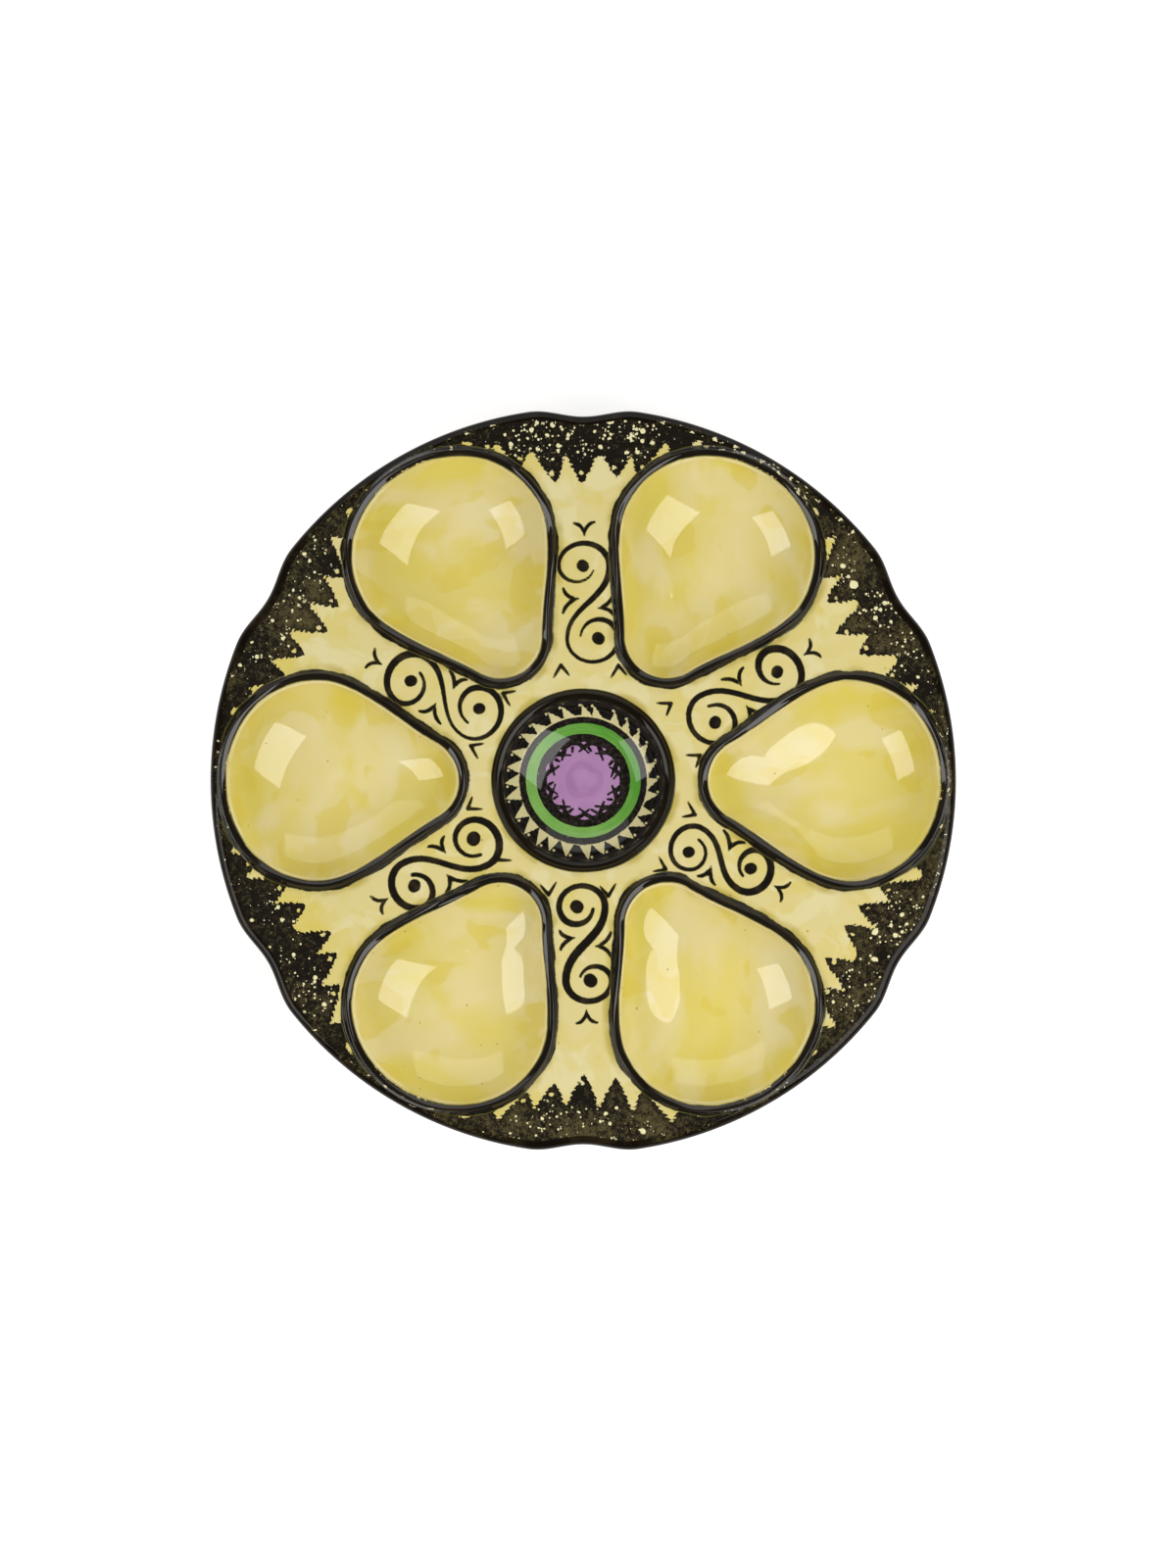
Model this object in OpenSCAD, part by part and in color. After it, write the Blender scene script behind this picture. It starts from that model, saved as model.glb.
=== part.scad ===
// Oyster plate: a round faience plate with six pear-shaped wells round a small sauce well.
// Each well is a bowl with a raised lip, set in a field that rises to a scalloped rim.
// The plate stands on a foot ring. Millimetres, +Z up, origin on the table under the centre.

/* [Plate] */
// Diameter across the lobes of the rim
plate_d = 240; // [228:1:270]
// Thickness of the fired clay
wall = 5; // [4:0.25:6]
// Slope of the field up towards the rim, in degrees
field_slope = 3.3; // [1:0.1:5]

/* [Scalloped rim] */
// Width of the rolled edge
rim_w = 3; // [2:0.25:5]
// Depth of the notch between two lobes
notch_depth = 2.8; // [1:0.1:5]
// Angle that one notch takes along the edge
notch_span = 17; // [12:0.5:24]

/* [Oyster wells] */
// From the plate's edge to the open end of a well
well_margin = 5.3; // [5:0.1:12]
// Greatest width of a well inside its lip
well_w = 64.2; // [56:0.2:68]
// From the open end of a well to its widest place
well_shoulder = 29.8; // [26:0.2:34]
// From the open end of a well to its deepest place
well_reach = 34; // [30:0.5:40]
// Radius of the narrow end of a well
well_tip_r = 13.4; // [9:0.2:16]
// Depth of a well below the field
well_depth = 16; // [12:0.5:20]

/* [Lips] */
// Width of the raised lip round a well
lip_w = 3.4; // [2.5:0.1:4.5]
// Height of the lip above the field
lip_h = 1.5; // [0.8:0.1:2.5]
// How deep the lip is seated in the field
lip_seat = 1.2; // [0.6:0.1:2]

/* [Sauce well] */
// Radius of the sauce well inside its lip
sauce_r = 26; // [20:0.5:30]
// Depth of the sauce well below the field
sauce_depth = 11; // [8:0.5:15]
// Width of the field between the sauce well's lip and the oyster wells' lips
hub_gap = 7.4; // [4:0.2:12]

/* [Foot ring] */
// Outer radius of the foot where it stands
foot_r = 62; // [50:1:80]
// Width of the standing face
foot_w = 4.5; // [3:0.25:7]
// How much wider each side of the foot is at the plate
foot_draft = 1; // [0:0.1:2]
// Bevel along both edges of the standing face
foot_bevel = 0.8; // [0.3:0.1:1.2]
// Height of the lowest underside above the table
foot_clear = 3; // [2:0.25:6]

/* [Hidden] */
well_count = 6;
$fn = 96;

glaze_yellow = [0.87, 0.81, 0.53];
paint_black = [0.15, 0.14, 0.11];
paint_violet = [0.68, 0.50, 0.68];
bare_clay = [0.80, 0.70, 0.56];

// Room left above or below a shape when it is used to cut another
cut_over = 5;

plate_r = plate_d / 2;
pitch = 360 / well_count;
// Places of a well along its own centre line, measured from the plate's centre
well_far = plate_r - well_margin;
well_near = sauce_r + lip_w + hub_gap + lip_w;
well_mid = well_far - well_reach;

// Heights above the table, from the deeper of the two kinds of well
field_drop = (well_mid - sauce_r) * tan(field_slope);
field_mid = foot_clear + wall + max(well_depth, sauce_depth + field_drop);
function field_z(r) = field_mid + (r - well_mid) * tan(field_slope);
function under_z(r) = field_z(r) - wall;
well_floor = field_mid - well_depth;
sauce_floor = field_z(sauce_r) - sauce_depth;

// Section of a bowl, for u from 0 at the deepest place to 1 at the edge: the reach towards
// the edge and the rise of the floor. A superellipse, broad below and upright at the edge.
bowl_power = 2.4;
bowl_side = 0.6;
bowl_steps = 6;
function bowl_reach(u) = pow(sin(90 * u), 2 / bowl_power);
function bowl_rise(u) = 1 - pow(cos(90 * u), 2 * bowl_side);

// Outline of a well inside its lip, in its own frame with +X outwards from the plate's centre:
// an arc at the narrow end, a waisted flank, and a broad open end.
tip_sweep = 60;
tip_steps = 5;
flank_steps = 10;
end_steps = 9;
flank_pull = 14.3;
shoulder_pull = 11.8;
end_pull = 0.62 * well_shoulder;
end_round = 0.53 * well_w / 2;

function bezier(p, t) =
    pow(1 - t, 3) * p[0] + 3 * pow(1 - t, 2) * t * p[1]
    + 3 * (1 - t) * pow(t, 2) * p[2] + pow(t, 3) * p[3];

tip_end = [
    well_near + well_tip_r * (1 - cos(tip_sweep)),
    well_tip_r * sin(tip_sweep)
];
tip_way = [sin(tip_sweep), cos(tip_sweep)];
shoulder = [well_far - well_shoulder, well_w / 2];
flank_curve = [tip_end, tip_end + flank_pull * tip_way, shoulder - [shoulder_pull, 0], shoulder];
end_curve = [shoulder, shoulder + [end_pull, 0], [well_far, end_round], [well_far, 0]];

half_outline = concat(
    [for (i = [0:tip_steps - 1])
        let (a = tip_sweep * i / tip_steps)
        [well_near + well_tip_r * (1 - cos(a)), well_tip_r * sin(a)]],
    [for (i = [0:flank_steps - 1]) bezier(flank_curve, i / flank_steps)],
    [for (i = [0:end_steps]) bezier(end_curve, i / end_steps)]
);
half_last = len(half_outline) - 1;
well_outline = concat(
    half_outline,
    [for (i = [half_last - 1:-1:1]) [half_outline[i].x, -half_outline[i].y]]
);
outline_count = len(well_outline);

// The outline moved outwards by a distance, along the normal at each point
function grown(distance) = [
    for (i = [0:outline_count - 1])
        let (
            before = well_outline[(i + outline_count - 1) % outline_count],
            after = well_outline[(i + 1) % outline_count],
            way = (after - before) / norm(after - before)
        )
        well_outline[i] + distance * [-way.y, way.x]
];
lip_outline = grown(lip_w);
well_centre = [well_mid, 0];

// A ring of an outline drawn in towards the well's deepest place
function bowl_ring(outline, step, edge_drop, floor_z) = [
    for (p = outline)
        let (
            u = step / bowl_steps,
            plan = well_centre + bowl_reach(u) * (p - well_centre),
            edge_z = field_z(norm(p)) - edge_drop
        )
        [plan.x, plan.y, floor_z + bowl_rise(u) * (edge_z - floor_z)]
];
// A ring of an outline at a height over or under the field
function field_ring(outline, lift) = [for (p = outline) [p.x, p.y, field_z(norm(p)) + lift]];

// Two triangles for each side of the band between ring a and ring b
function band(a, b, count) = [
    for (i = [0:count - 1], half = [0:1])
        let (
            next = (i + 1) % count,
            a0 = a * count + i,
            a1 = a * count + next,
            b0 = b * count + i,
            b1 = b * count + next
        )
        half == 0 ? [a0, b1, a1] : [a0, b0, b1]
];

// A closed band of rings, the last joined to the first
module ring_solid(rings) {
    count = len(rings[0]);
    polyhedron(
        points = [for (ring = rings) each ring],
        faces = [for (k = [0:len(rings) - 1]) each band(k, (k + 1) % len(rings), count)]
    );
}

// Rings one after another, closed by a point at each end
module capped_solid(first, rings, last) {
    count = len(rings[0]);
    total = len(rings) * count;
    polyhedron(
        points = concat([for (ring = rings) each ring], [first, last]),
        faces = concat(
            [for (i = [0:count - 1]) [total, i, (i + 1) % count]],
            [for (k = [0:len(rings) - 2]) each band(k, k + 1, count)],
            [for (i = [0:count - 1])
                [total + 1, total - count + (i + 1) % count, total - count + i]]
        )
    );
}

// The inside and the underside of one bowl, from the edge or the floor
well_inside = [for (k = [1:bowl_steps]) bowl_ring(well_outline, k, lip_seat, well_floor)];
well_under = [for (k = [bowl_steps:-1:1]) bowl_ring(lip_outline, k, wall, well_floor - wall)];
well_floor_point = [well_mid, 0, well_floor];
well_under_point = [well_mid, 0, well_floor - wall];

module turned(i) {
    rotate([0, 0, pitch * (i - 1)]) children();
}

// A bowl, with a flat seat for its lip and an upright wall against the field
module oyster_well(i) {
    color(glaze_yellow) turned(i)
        capped_solid(
            well_floor_point,
            concat(well_inside, [field_ring(lip_outline, -lip_seat)], well_under),
            well_under_point
        );
}

// The room that a bowl takes under the field, for cutting the foot
module well_room(i) {
    turned(i)
        capped_solid(
            [well_mid, 0, field_mid + cut_over],
            concat([field_ring(lip_outline, cut_over)], well_under),
            well_under_point
        );
}

// Half-round bead on a flat seat: points of distance from the inner edge and height over the field
bead_steps = 5;
bead_section = concat(
    [[0, -lip_seat], [lip_w, -lip_seat]],
    [for (k = [0:bead_steps])
        [lip_w / 2 * (1 + cos(180 * k / bead_steps)), lip_h * sin(180 * k / bead_steps)]]
);

module well_lip(i) {
    color(paint_black) turned(i)
        ring_solid([for (p = bead_section) field_ring(grown(p.x), p.y)]);
}

module lip_cut(i) {
    turned(i)
        translate([0, 0, -cut_over])
            linear_extrude(field_z(plate_r) + lip_h + 2 * cut_over)
                polygon(lip_outline);
}

// Edge of the plate by angle: a circle with a smooth notch half-way between two wells
edge_steps = 24;
edge_angles = [for (k = [0:edge_steps * well_count - 1]) pitch * k / edge_steps];
function from_notch(a) = abs((a % pitch) - pitch / 2);
function edge_r(a) =
    plate_r - (from_notch(a) < notch_span / 2
        ? notch_depth * (1 + cos(360 * from_notch(a) / notch_span)) / 2
        : 0);
function polar(r, a) = [r * cos(a), r * sin(a)];

// Rolled edge: half an ellipse from the field's top round to its underside
roll_steps = 6;
function roll_ring(turn) = [
    for (a = edge_angles)
        let (
            seam_r = edge_r(a) - rim_w,
            plan = polar(seam_r + rim_w * cos(turn), a)
        )
        [plan.x, plan.y, field_z(seam_r) - wall / 2 + wall / 2 * sin(turn)]
];

module scalloped_rim() {
    color(paint_black)
        difference() {
            ring_solid([for (k = [0:roll_steps]) roll_ring(90 - 180 * k / roll_steps)]);
            for (i = [1:well_count]) lip_cut(i);
        }
}

// The field: a shallow cone of even thickness, cut out for the wells
sauce_lip_r = sauce_r + lip_w;
module plate_field() {
    color(glaze_yellow)
        difference() {
            intersection() {
                rotate_extrude()
                    polygon([
                        [sauce_lip_r, under_z(sauce_lip_r)],
                        [plate_r, under_z(plate_r)],
                        [plate_r, field_z(plate_r)],
                        [sauce_lip_r, field_z(sauce_lip_r)]
                    ]);
                translate([0, 0, -cut_over])
                    linear_extrude(field_z(plate_r) + 2 * cut_over)
                        polygon([for (a = edge_angles) polar(edge_r(a) - rim_w, a)]);
            }
            for (i = [1:well_count]) lip_cut(i);
        }
}

// Points of the round bowl's section from its middle to its mouth
sauce_steps = 12;
function sauce_curve(mouth_r, mouth_z, floor_z) = [
    for (k = [0:sauce_steps])
        let (u = k / sauce_steps)
        [mouth_r * bowl_reach(u), floor_z + bowl_rise(u) * (mouth_z - floor_z)]
];

module sauce_well() {
    inside = sauce_curve(sauce_r, field_z(sauce_r) - lip_seat, sauce_floor);
    under = sauce_curve(sauce_lip_r, under_z(sauce_lip_r), sauce_floor - wall);
    color(paint_violet)
        rotate_extrude()
            polygon(concat(
                inside,
                [[sauce_lip_r, field_z(sauce_lip_r) - lip_seat]],
                [for (k = [sauce_steps:-1:0]) under[k]]
            ));
}

module sauce_lip() {
    color(paint_black)
        rotate_extrude()
            polygon([for (p = bead_section) [sauce_r + p.x, field_z(sauce_r + p.x) + p.y]]);
}

// The foot: a tapered ring from the table up to the field, cut round the bowls
module foot_ring() {
    foot_in = foot_r - foot_w;
    color(bare_clay)
        difference() {
            rotate_extrude()
                polygon([
                    [foot_in + foot_bevel, 0],
                    [foot_r - foot_bevel, 0],
                    [foot_r, foot_bevel],
                    [foot_r + foot_draft, under_z(foot_r + foot_draft)],
                    [foot_in - foot_draft, under_z(foot_in - foot_draft)],
                    [foot_in, foot_bevel]
                ]);
            for (i = [1:well_count]) well_room(i);
        }
}

plate_field();
scalloped_rim();
sauce_well();
sauce_lip();
foot_ring();
for (i = [1:well_count]) {
    oyster_well(i);
    well_lip(i);
}
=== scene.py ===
"""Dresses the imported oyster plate: glazed faience with painted scrolls, a sponged border and washed wells.

Sizes are in millimetres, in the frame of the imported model, and become metres when a mesh is made.
"""

import logging
import math
from collections.abc import Callable, Sequence
from dataclasses import dataclass, field
from enum import Enum
from typing import Any

import bmesh
import bpy
import numpy as np
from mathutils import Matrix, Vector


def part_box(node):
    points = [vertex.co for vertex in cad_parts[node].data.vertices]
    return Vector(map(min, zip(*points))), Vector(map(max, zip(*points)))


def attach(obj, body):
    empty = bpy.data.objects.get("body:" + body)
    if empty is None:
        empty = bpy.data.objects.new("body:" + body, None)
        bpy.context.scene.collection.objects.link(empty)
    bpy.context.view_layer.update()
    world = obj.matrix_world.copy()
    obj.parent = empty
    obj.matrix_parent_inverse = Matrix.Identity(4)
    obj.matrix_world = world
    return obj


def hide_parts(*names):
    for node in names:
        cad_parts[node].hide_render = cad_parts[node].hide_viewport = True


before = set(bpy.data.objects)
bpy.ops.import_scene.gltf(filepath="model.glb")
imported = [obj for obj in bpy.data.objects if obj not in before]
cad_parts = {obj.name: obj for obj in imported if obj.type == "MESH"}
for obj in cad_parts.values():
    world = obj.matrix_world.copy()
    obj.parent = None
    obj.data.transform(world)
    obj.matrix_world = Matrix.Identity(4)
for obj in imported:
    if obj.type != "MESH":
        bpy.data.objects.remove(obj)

LOG = logging.getLogger("oyster_plate")
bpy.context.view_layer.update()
MM = 0.001
WELD_MM = 1.0e-4
FULL_TURN = 2.0 * math.pi
SHARP_ANGLE = math.radians(38.0)
PLACES_ROUND = 720
UNPAINTED = 9.0

Array = np.ndarray
Pair = tuple[float, float]
Triple = tuple[float, float, float]


class Paint(Enum):
    """Colours of the glaze and the painting, as sRGB values from 0 to 255."""

    FIELD_CREAM = (223, 208, 143)
    FIELD_WASH = (218, 199, 96)
    GLAZE_POOL = (186, 166, 66)
    WELL_CREAM = (229, 214, 152)
    WELL_PALE = (233, 221, 172)
    WELL_WASH = (224, 207, 100)
    WELL_BRUSH = (220, 198, 72)
    EDGE_PALE = (233, 223, 178)
    # near-white painted highlight along the wells' inner edge
    WELL_EDGE_HIGHLIGHT = (250, 244, 216)
    PINHOLE = (150, 122, 58)
    LINE_BLACK = (17, 11, 4)
    LINE_GREY = (57, 47, 28)
    LINE_BLEED = (104, 98, 34)
    SPONGE_DARK = (19, 14, 6)
    SPONGE_OLIVE = (86, 77, 47)
    SPECK = (238, 229, 178)
    CUP_BLACK = (12, 8, 4)
    CUP_GREY = (58, 52, 45)
    CUP_TOOTH = (221, 210, 154)
    GREEN = (88, 155, 52)
    GREEN_PALE = (142, 188, 98)
    VIOLET = (182, 139, 181)
    VIOLET_DEEP = (157, 108, 156)
    UNDER_GLAZE = (221, 208, 150)
    UNDER_THIN = (206, 188, 132)
    BARE_CLAY = (203, 174, 137)

    @property
    def rgba(self) -> tuple[float, float, float, float]:
        """The colour in linear light, opaque."""
        red, green, blue = (srgb_to_linear(channel / 255.0) for channel in self.value)
        return red, green, blue, 1.0


class Bearing(Enum):
    """Ways in plan along which the painting changes, in degrees from the first well."""

    SECOND_WELL = 60.0
    TOP = 90.0
    LOWER_LEFT = 210.0

    @property
    def way(self) -> Pair:
        """The way as a unit vector."""
        return math.cos(math.radians(self.value)), math.sin(math.radians(self.value))


class Slot(Enum):
    """Material slots of the record."""

    FIELD = "yellow_glaze"
    WELL = "well_glaze"
    BLACK = "black_glaze"
    SAUCE = "sauce_well_paint"
    FOOT = "foot_glaze"


def srgb_to_linear(value: float) -> float:
    """Turns one sRGB channel from 0 to 1 into linear light."""
    return value / 12.92 if value <= 0.04045 else ((value + 0.055) / 1.055) ** 2.4


def smooth(value: Array | float, low: float, high: float) -> Array:
    """Smooth step: 0 at low and below, 1 at high and above, 3t squared minus 2t cubed between."""
    t = np.clip((np.asarray(value, float) - low) / (high - low), 0.0, 1.0)
    return t * t * (3.0 - 2.0 * t)


def shares(steps: int) -> Array:
    """Even shares of a way, from 0 to 1, over a number of steps."""
    return np.linspace(0.0, 1.0, steps + 1)


def bezier(points: Sequence[Array], t: Array) -> Array:
    """Cubic curve over four control points.

    Args:
        points: The four control points.
        t: Places along the curve, from 0 to 1.

    Returns:
        One point for each place.
    """
    s = 1.0 - t[:, None]
    t = t[:, None]
    p0, p1, p2, p3 = (np.asarray(p, float) for p in points)
    return s**3 * p0 + 3.0 * s**2 * t * p1 + 3.0 * s * t**2 * p2 + t**3 * p3


def fillet(start: Array, corner: Array, end: Array, rings: int) -> Array:
    """Quadratic curve between two surfaces, with their corner as its middle point; its end is left out."""
    t = shares(rings)[:-1].reshape(-1, *[1] * np.ndim(start))
    return (1.0 - t) ** 2 * start + 2.0 * t * (1.0 - t) * corner + t**2 * end


def from_axis(plan: Array) -> Array:
    """Distance of points from the plate's axis."""
    return np.hypot(plan[..., 0], plan[..., 1])


def lifted(plan: Array, z: Array) -> Array:
    """Points in plan with their heights added."""
    return np.concatenate([plan, z[..., None]], -1)


def round_axis(r: Array, angle: Array, z: Array) -> Array:
    """Points by radius, angle in radians and height, spread to one shape."""
    return np.stack(np.broadcast_arrays(r * np.cos(angle), r * np.sin(angle), z), -1)


def waves(rng: np.random.Generator, count: int, longest: int) -> Callable[[Array], Array]:
    """A closed wavering line of about unit height: a sum of sines with whole numbers of waves.

    Args:
        rng: Source of the amplitudes and phases.
        count: How many sines.
        longest: Waves round the loop of the slowest sine.

    Returns:
        A function of the share of the way round, from 0 to 1.
    """
    phase = rng.uniform(0.0, FULL_TURN, count)
    height = rng.uniform(0.5, 1.0, count) / math.sqrt(count)
    turns = longest + np.arange(count)

    def line(share: Array) -> Array:
        """Height of the line at a share of the way round."""
        angle = FULL_TURN * np.asarray(share)[..., None] * turns + phase
        return (height * np.sin(angle)).sum(-1)

    return line


@dataclass(frozen=True)
class PlateForm:
    """Sizes of the plate in millimetres and the surfaces that its pieces share."""

    plate_r: float
    sauce_lip_r: float
    well_near: float
    well_far: float
    well_half: float
    under_low: float
    wall: float = 5.0
    field_slope: float = 3.3
    rim_w: float = 3.0
    notch_depth: float = 2.8
    notch_span: float = 17.0
    well_count: int = 6
    well_reach: float = 34.0
    well_shoulder: float = 29.8
    well_tip_r: float = 13.4
    tip_sweep: float = 60.0
    flank_pull: float = 14.3
    shoulder_pull: float = 11.8
    end_pull: float = 0.62
    end_round: float = 0.53
    well_depth: float = 16.0
    bowl_power: float = 2.4
    bowl_side: float = 0.6
    lip_w: float = 3.4
    lip_h: float = 1.5
    lip_seat: float = 1.2
    sauce_depth: float = 11.0
    fillet: float = 3.2
    fillet_to: float = 0.84
    foot_r: float = 62.0
    foot_w: float = 4.5
    foot_draft: float = 1.0
    foot_bevel: float = 0.8

    @classmethod
    def from_frame(cls) -> "PlateForm":
        """Reads the plate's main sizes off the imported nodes' boxes.

        Returns:
            The plate's sizes.
        """
        lip = cls.lip_w
        rim_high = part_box("scalloped_rim")[1]
        sauce_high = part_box("sauce_lip")[1]
        well_low, well_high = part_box("oyster_well_1")
        return cls(
            plate_r=rim_high.x / MM,
            sauce_lip_r=sauce_high.x / MM,
            well_near=well_low.x / MM + lip,
            well_far=well_high.x / MM - lip,
            well_half=well_high.y / MM - lip,
            under_low=well_low.z / MM,
        )

    @property
    def pitch(self) -> float:
        """Angle from one well to the next, in degrees."""
        return 360.0 / self.well_count

    @property
    def well_mid(self) -> float:
        """Radius of a well's deepest place."""
        return self.well_far - self.well_reach

    @property
    def well_floor(self) -> float:
        """Height of a well's floor."""
        return self.under_low + self.wall

    @property
    def sauce_r(self) -> float:
        """Radius of the sauce well inside its lip."""
        return self.sauce_lip_r - self.lip_w

    @property
    def sauce_floor(self) -> float:
        """Height of the sauce well's floor."""
        return float(self.field_z(self.sauce_r)) - self.sauce_depth

    @property
    def seam_r(self) -> float:
        """Radius where the field meets the rolled edge, away from the notches."""
        return self.plate_r - self.rim_w

    def field_z(self, r: Array | float) -> Array:
        """Height of the field's top: a cone that rises towards the rim."""
        rise = math.tan(math.radians(self.field_slope))
        return self.well_floor + self.well_depth + (np.asarray(r, float) - self.well_mid) * rise

    def under_z(self, r: Array | float) -> Array:
        """Height of the field's underside."""
        return self.field_z(r) - self.wall

    def from_well(self, degrees: Array) -> Array:
        """Angle in degrees from the nearest well's centre line."""
        return np.mod(degrees + self.pitch / 2.0, self.pitch) - self.pitch / 2.0

    def notch(self, degrees: Array) -> Array:
        """Depth of the notch: one cosine wave half-way between two wells, none elsewhere.

        Args:
            degrees: Angles from the first well.

        Returns:
            One depth for each angle.
        """
        off = np.abs(np.mod(degrees, self.pitch) - self.pitch / 2.0)
        wave = 0.5 + 0.5 * np.cos(FULL_TURN * off / self.notch_span)
        return np.where(off < self.notch_span / 2.0, self.notch_depth * wave, 0.0)

    def top_z(self, r: Array) -> Array:
        """Height of the top near a well's outer end: the cone, then the rolled edge's half ellipse.

        Args:
            r: Radii.

        Returns:
            One height for each radius.
        """
        over = np.clip((r - self.seam_r) / self.rim_w, 0.0, 1.0)
        roll = self.wall / 2.0 * (1.0 - np.sqrt(1.0 - over**2))
        return self.field_z(np.minimum(r, self.seam_r)) - roll

    def bowl_reach(self, u: Array) -> Array:
        """Share of the way from a bowl's deepest place to its edge, for u from 0 to 1."""
        return np.sin(math.pi / 2.0 * u) ** (2.0 / self.bowl_power)

    def bowl_rise(self, u: Array) -> Array:
        """Share of a bowl's depth that its floor has risen, for u from 0 to 1."""
        return 1.0 - np.maximum(np.cos(math.pi / 2.0 * u), 0.0) ** (2.0 * self.bowl_side)

    def bowl_rise_at(self, reach: Array) -> Array:
        """Share of a bowl's depth that its floor has risen at a share of the way to its edge."""
        sine = np.clip(reach, 0.0, 1.0) ** (self.bowl_power / 2.0)
        return 1.0 - (1.0 - sine**2) ** self.bowl_side


@dataclass(frozen=True)
class WellOutline:
    """Outline of a well inside its lip, in its own frame with +X outwards from the plate's centre."""

    form: PlateForm
    tip_steps: int = 26
    flank_steps: int = 62
    end_steps: int = 74

    def half(self) -> Array:
        """One side from the tip to the outer end: an arc, a waisted cubic flank and a cubic broad end.

        Returns:
            Points in plan.
        """
        f = self.form
        turn = np.linspace(0.0, math.radians(f.tip_sweep), self.tip_steps + 1)
        tip = [f.well_near, 0.0] + f.well_tip_r * np.stack([1.0 - np.cos(turn), np.sin(turn)], 1)
        tip_way = np.array([math.sin(turn[-1]), math.cos(turn[-1])])
        shoulder = np.array([f.well_far - f.well_shoulder, f.well_half])
        flank = bezier(
            [tip[-1], tip[-1] + f.flank_pull * tip_way, shoulder - [f.shoulder_pull, 0.0], shoulder],
            shares(self.flank_steps)[:-1],
        )
        end_corner = np.array([f.well_far, f.end_round * f.well_half])
        end = bezier(
            [shoulder, shoulder + [f.end_pull * f.well_shoulder, 0.0], end_corner, [f.well_far, 0.0]],
            shares(self.end_steps),
        )
        return np.concatenate([tip[:-1], flank, end])

    def loop(self) -> Array:
        """The whole outline, from the tip along one side and back along the other."""
        half = self.half()
        return np.concatenate([half, half[-2:0:-1] * [1.0, -1.0]])

    def grown(self, distance: Array | float) -> Array:
        """The outline moved outwards along its normals.

        Args:
            distance: One distance, or one for each point, or that for each of several rings.

        Returns:
            The moved points.
        """
        loop = self.loop()
        way = np.roll(loop, -1, 0) - np.roll(loop, 1, 0)
        way /= np.linalg.norm(way, axis=1, keepdims=True)
        normal = np.stack([-way[:, 1], way[:, 0]], 1)
        return loop + np.asarray(distance)[..., None] * normal

    def lip_half(self) -> Array:
        """The lip's outer edge on one side, from the tip to the outer end."""
        return self.grown(self.form.lip_w)[: self.tip_steps + self.flank_steps + self.end_steps + 1]

    def lip_polar(self) -> tuple[Array, Array]:
        """Radius and angle in degrees of the lip's outer edge on one side."""
        edge = self.lip_half()
        return from_axis(edge), np.degrees(np.arctan2(edge[:, 1], edge[:, 0]))


@dataclass
class Solid:
    """Points in millimetres, faces, and named values at the points, of one closed mesh."""

    points: Array
    faces: list[Array]
    values: dict[str, Array] = field(default_factory=dict)

    @classmethod
    def tube(cls, rings: Array, **values: Array) -> "Solid":
        """Closed band of rings, the last joined to the first.

        Args:
            rings: Points by ring, place on the ring and axis.
            values: Named values by ring and place.

        Returns:
            The closed solid.
        """
        count, around = rings.shape[:2]
        index = np.arange(count * around).reshape(count, around)
        next_ring = np.roll(index, -1, 0)
        quads = np.stack([index, np.roll(index, -1, 1), np.roll(next_ring, -1, 1), next_ring], -1)
        flat = {name: np.broadcast_to(v, (count, around)).reshape(-1) for name, v in values.items()}
        return cls(rings.reshape(-1, 3), [quads.reshape(-1, 4)], flat)

    @classmethod
    def capped(cls, first: Array, rings: Array, last: Array, **values: Array) -> "Solid":
        """Rings one after another, closed by a point at each end.

        Args:
            first: The point that closes the first ring.
            rings: Points by ring, place on the ring and axis.
            last: The point that closes the last ring.
            values: Named values by ring and place; the end points take those of their rings.

        Returns:
            The closed solid.
        """
        count, around = rings.shape[:2]
        index = np.arange(count * around).reshape(count, around)
        ahead = np.roll(index, -1, 1)
        quads = np.stack([index[:-1], ahead[:-1], ahead[1:], index[1:]], -1).reshape(-1, 4)
        start = np.full(around, count * around)
        fans = [np.stack([start, ahead[0], index[0]], 1), np.stack([start + 1, index[-1], ahead[-1]], 1)]
        flat = {}
        for name, v in values.items():
            grid = np.broadcast_to(v, (count, around))
            flat[name] = np.concatenate([grid.reshape(-1), [grid[0].mean(), grid[-1].mean()]])
        return cls(np.concatenate([rings.reshape(-1, 3), [first, last]]), [quads, *fans], flat)

    def turned(self, degrees: float) -> "Solid":
        """The solid turned about the plate's axis.

        Args:
            degrees: How far it is turned.

        Returns:
            The turned solid.
        """
        c, s = math.cos(math.radians(degrees)), math.sin(math.radians(degrees))
        turn = np.array([[c, s, 0.0], [-s, c, 0.0], [0.0, 0.0, 1.0]])
        return Solid(self.points @ turn, self.faces, self.values)

    def welded(self) -> "Solid":
        """The solid with points that coincide joined into one.

        Returns:
            The welded solid.
        """
        keys = np.round(self.points / WELD_MM).astype(np.int64)
        _, keep, back = np.unique(keys, axis=0, return_index=True, return_inverse=True)
        back = back.reshape(-1)
        values = {name: v[keep] for name, v in self.values.items()}
        return Solid(self.points[keep], [back[f] for f in self.faces], values)

    def build(self, name: str) -> bpy.types.Object:
        """Makes the mesh object, at the origin, with its faces outwards.

        Args:
            name: Name of the piece.

        Returns:
            The new object, linked to the scene.
        """
        mesh = bpy.data.meshes.new(name)
        mesh.from_pydata((self.points * MM).tolist(), [], [f for faces in self.faces for f in faces.tolist()])
        shape = bmesh.new()
        shape.from_mesh(mesh)
        bmesh.ops.recalc_face_normals(shape, faces=shape.faces)
        shape.to_mesh(mesh)
        shape.free()
        for label, values in self.values.items():
            attribute = mesh.attributes.new(label, "FLOAT", "POINT")
            attribute.data.foreach_set("value", np.ascontiguousarray(values, np.float32))
        mesh.shade_smooth()
        mesh.set_sharp_from_angle(angle=SHARP_ANGLE)
        return linked(name, mesh)


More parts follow.
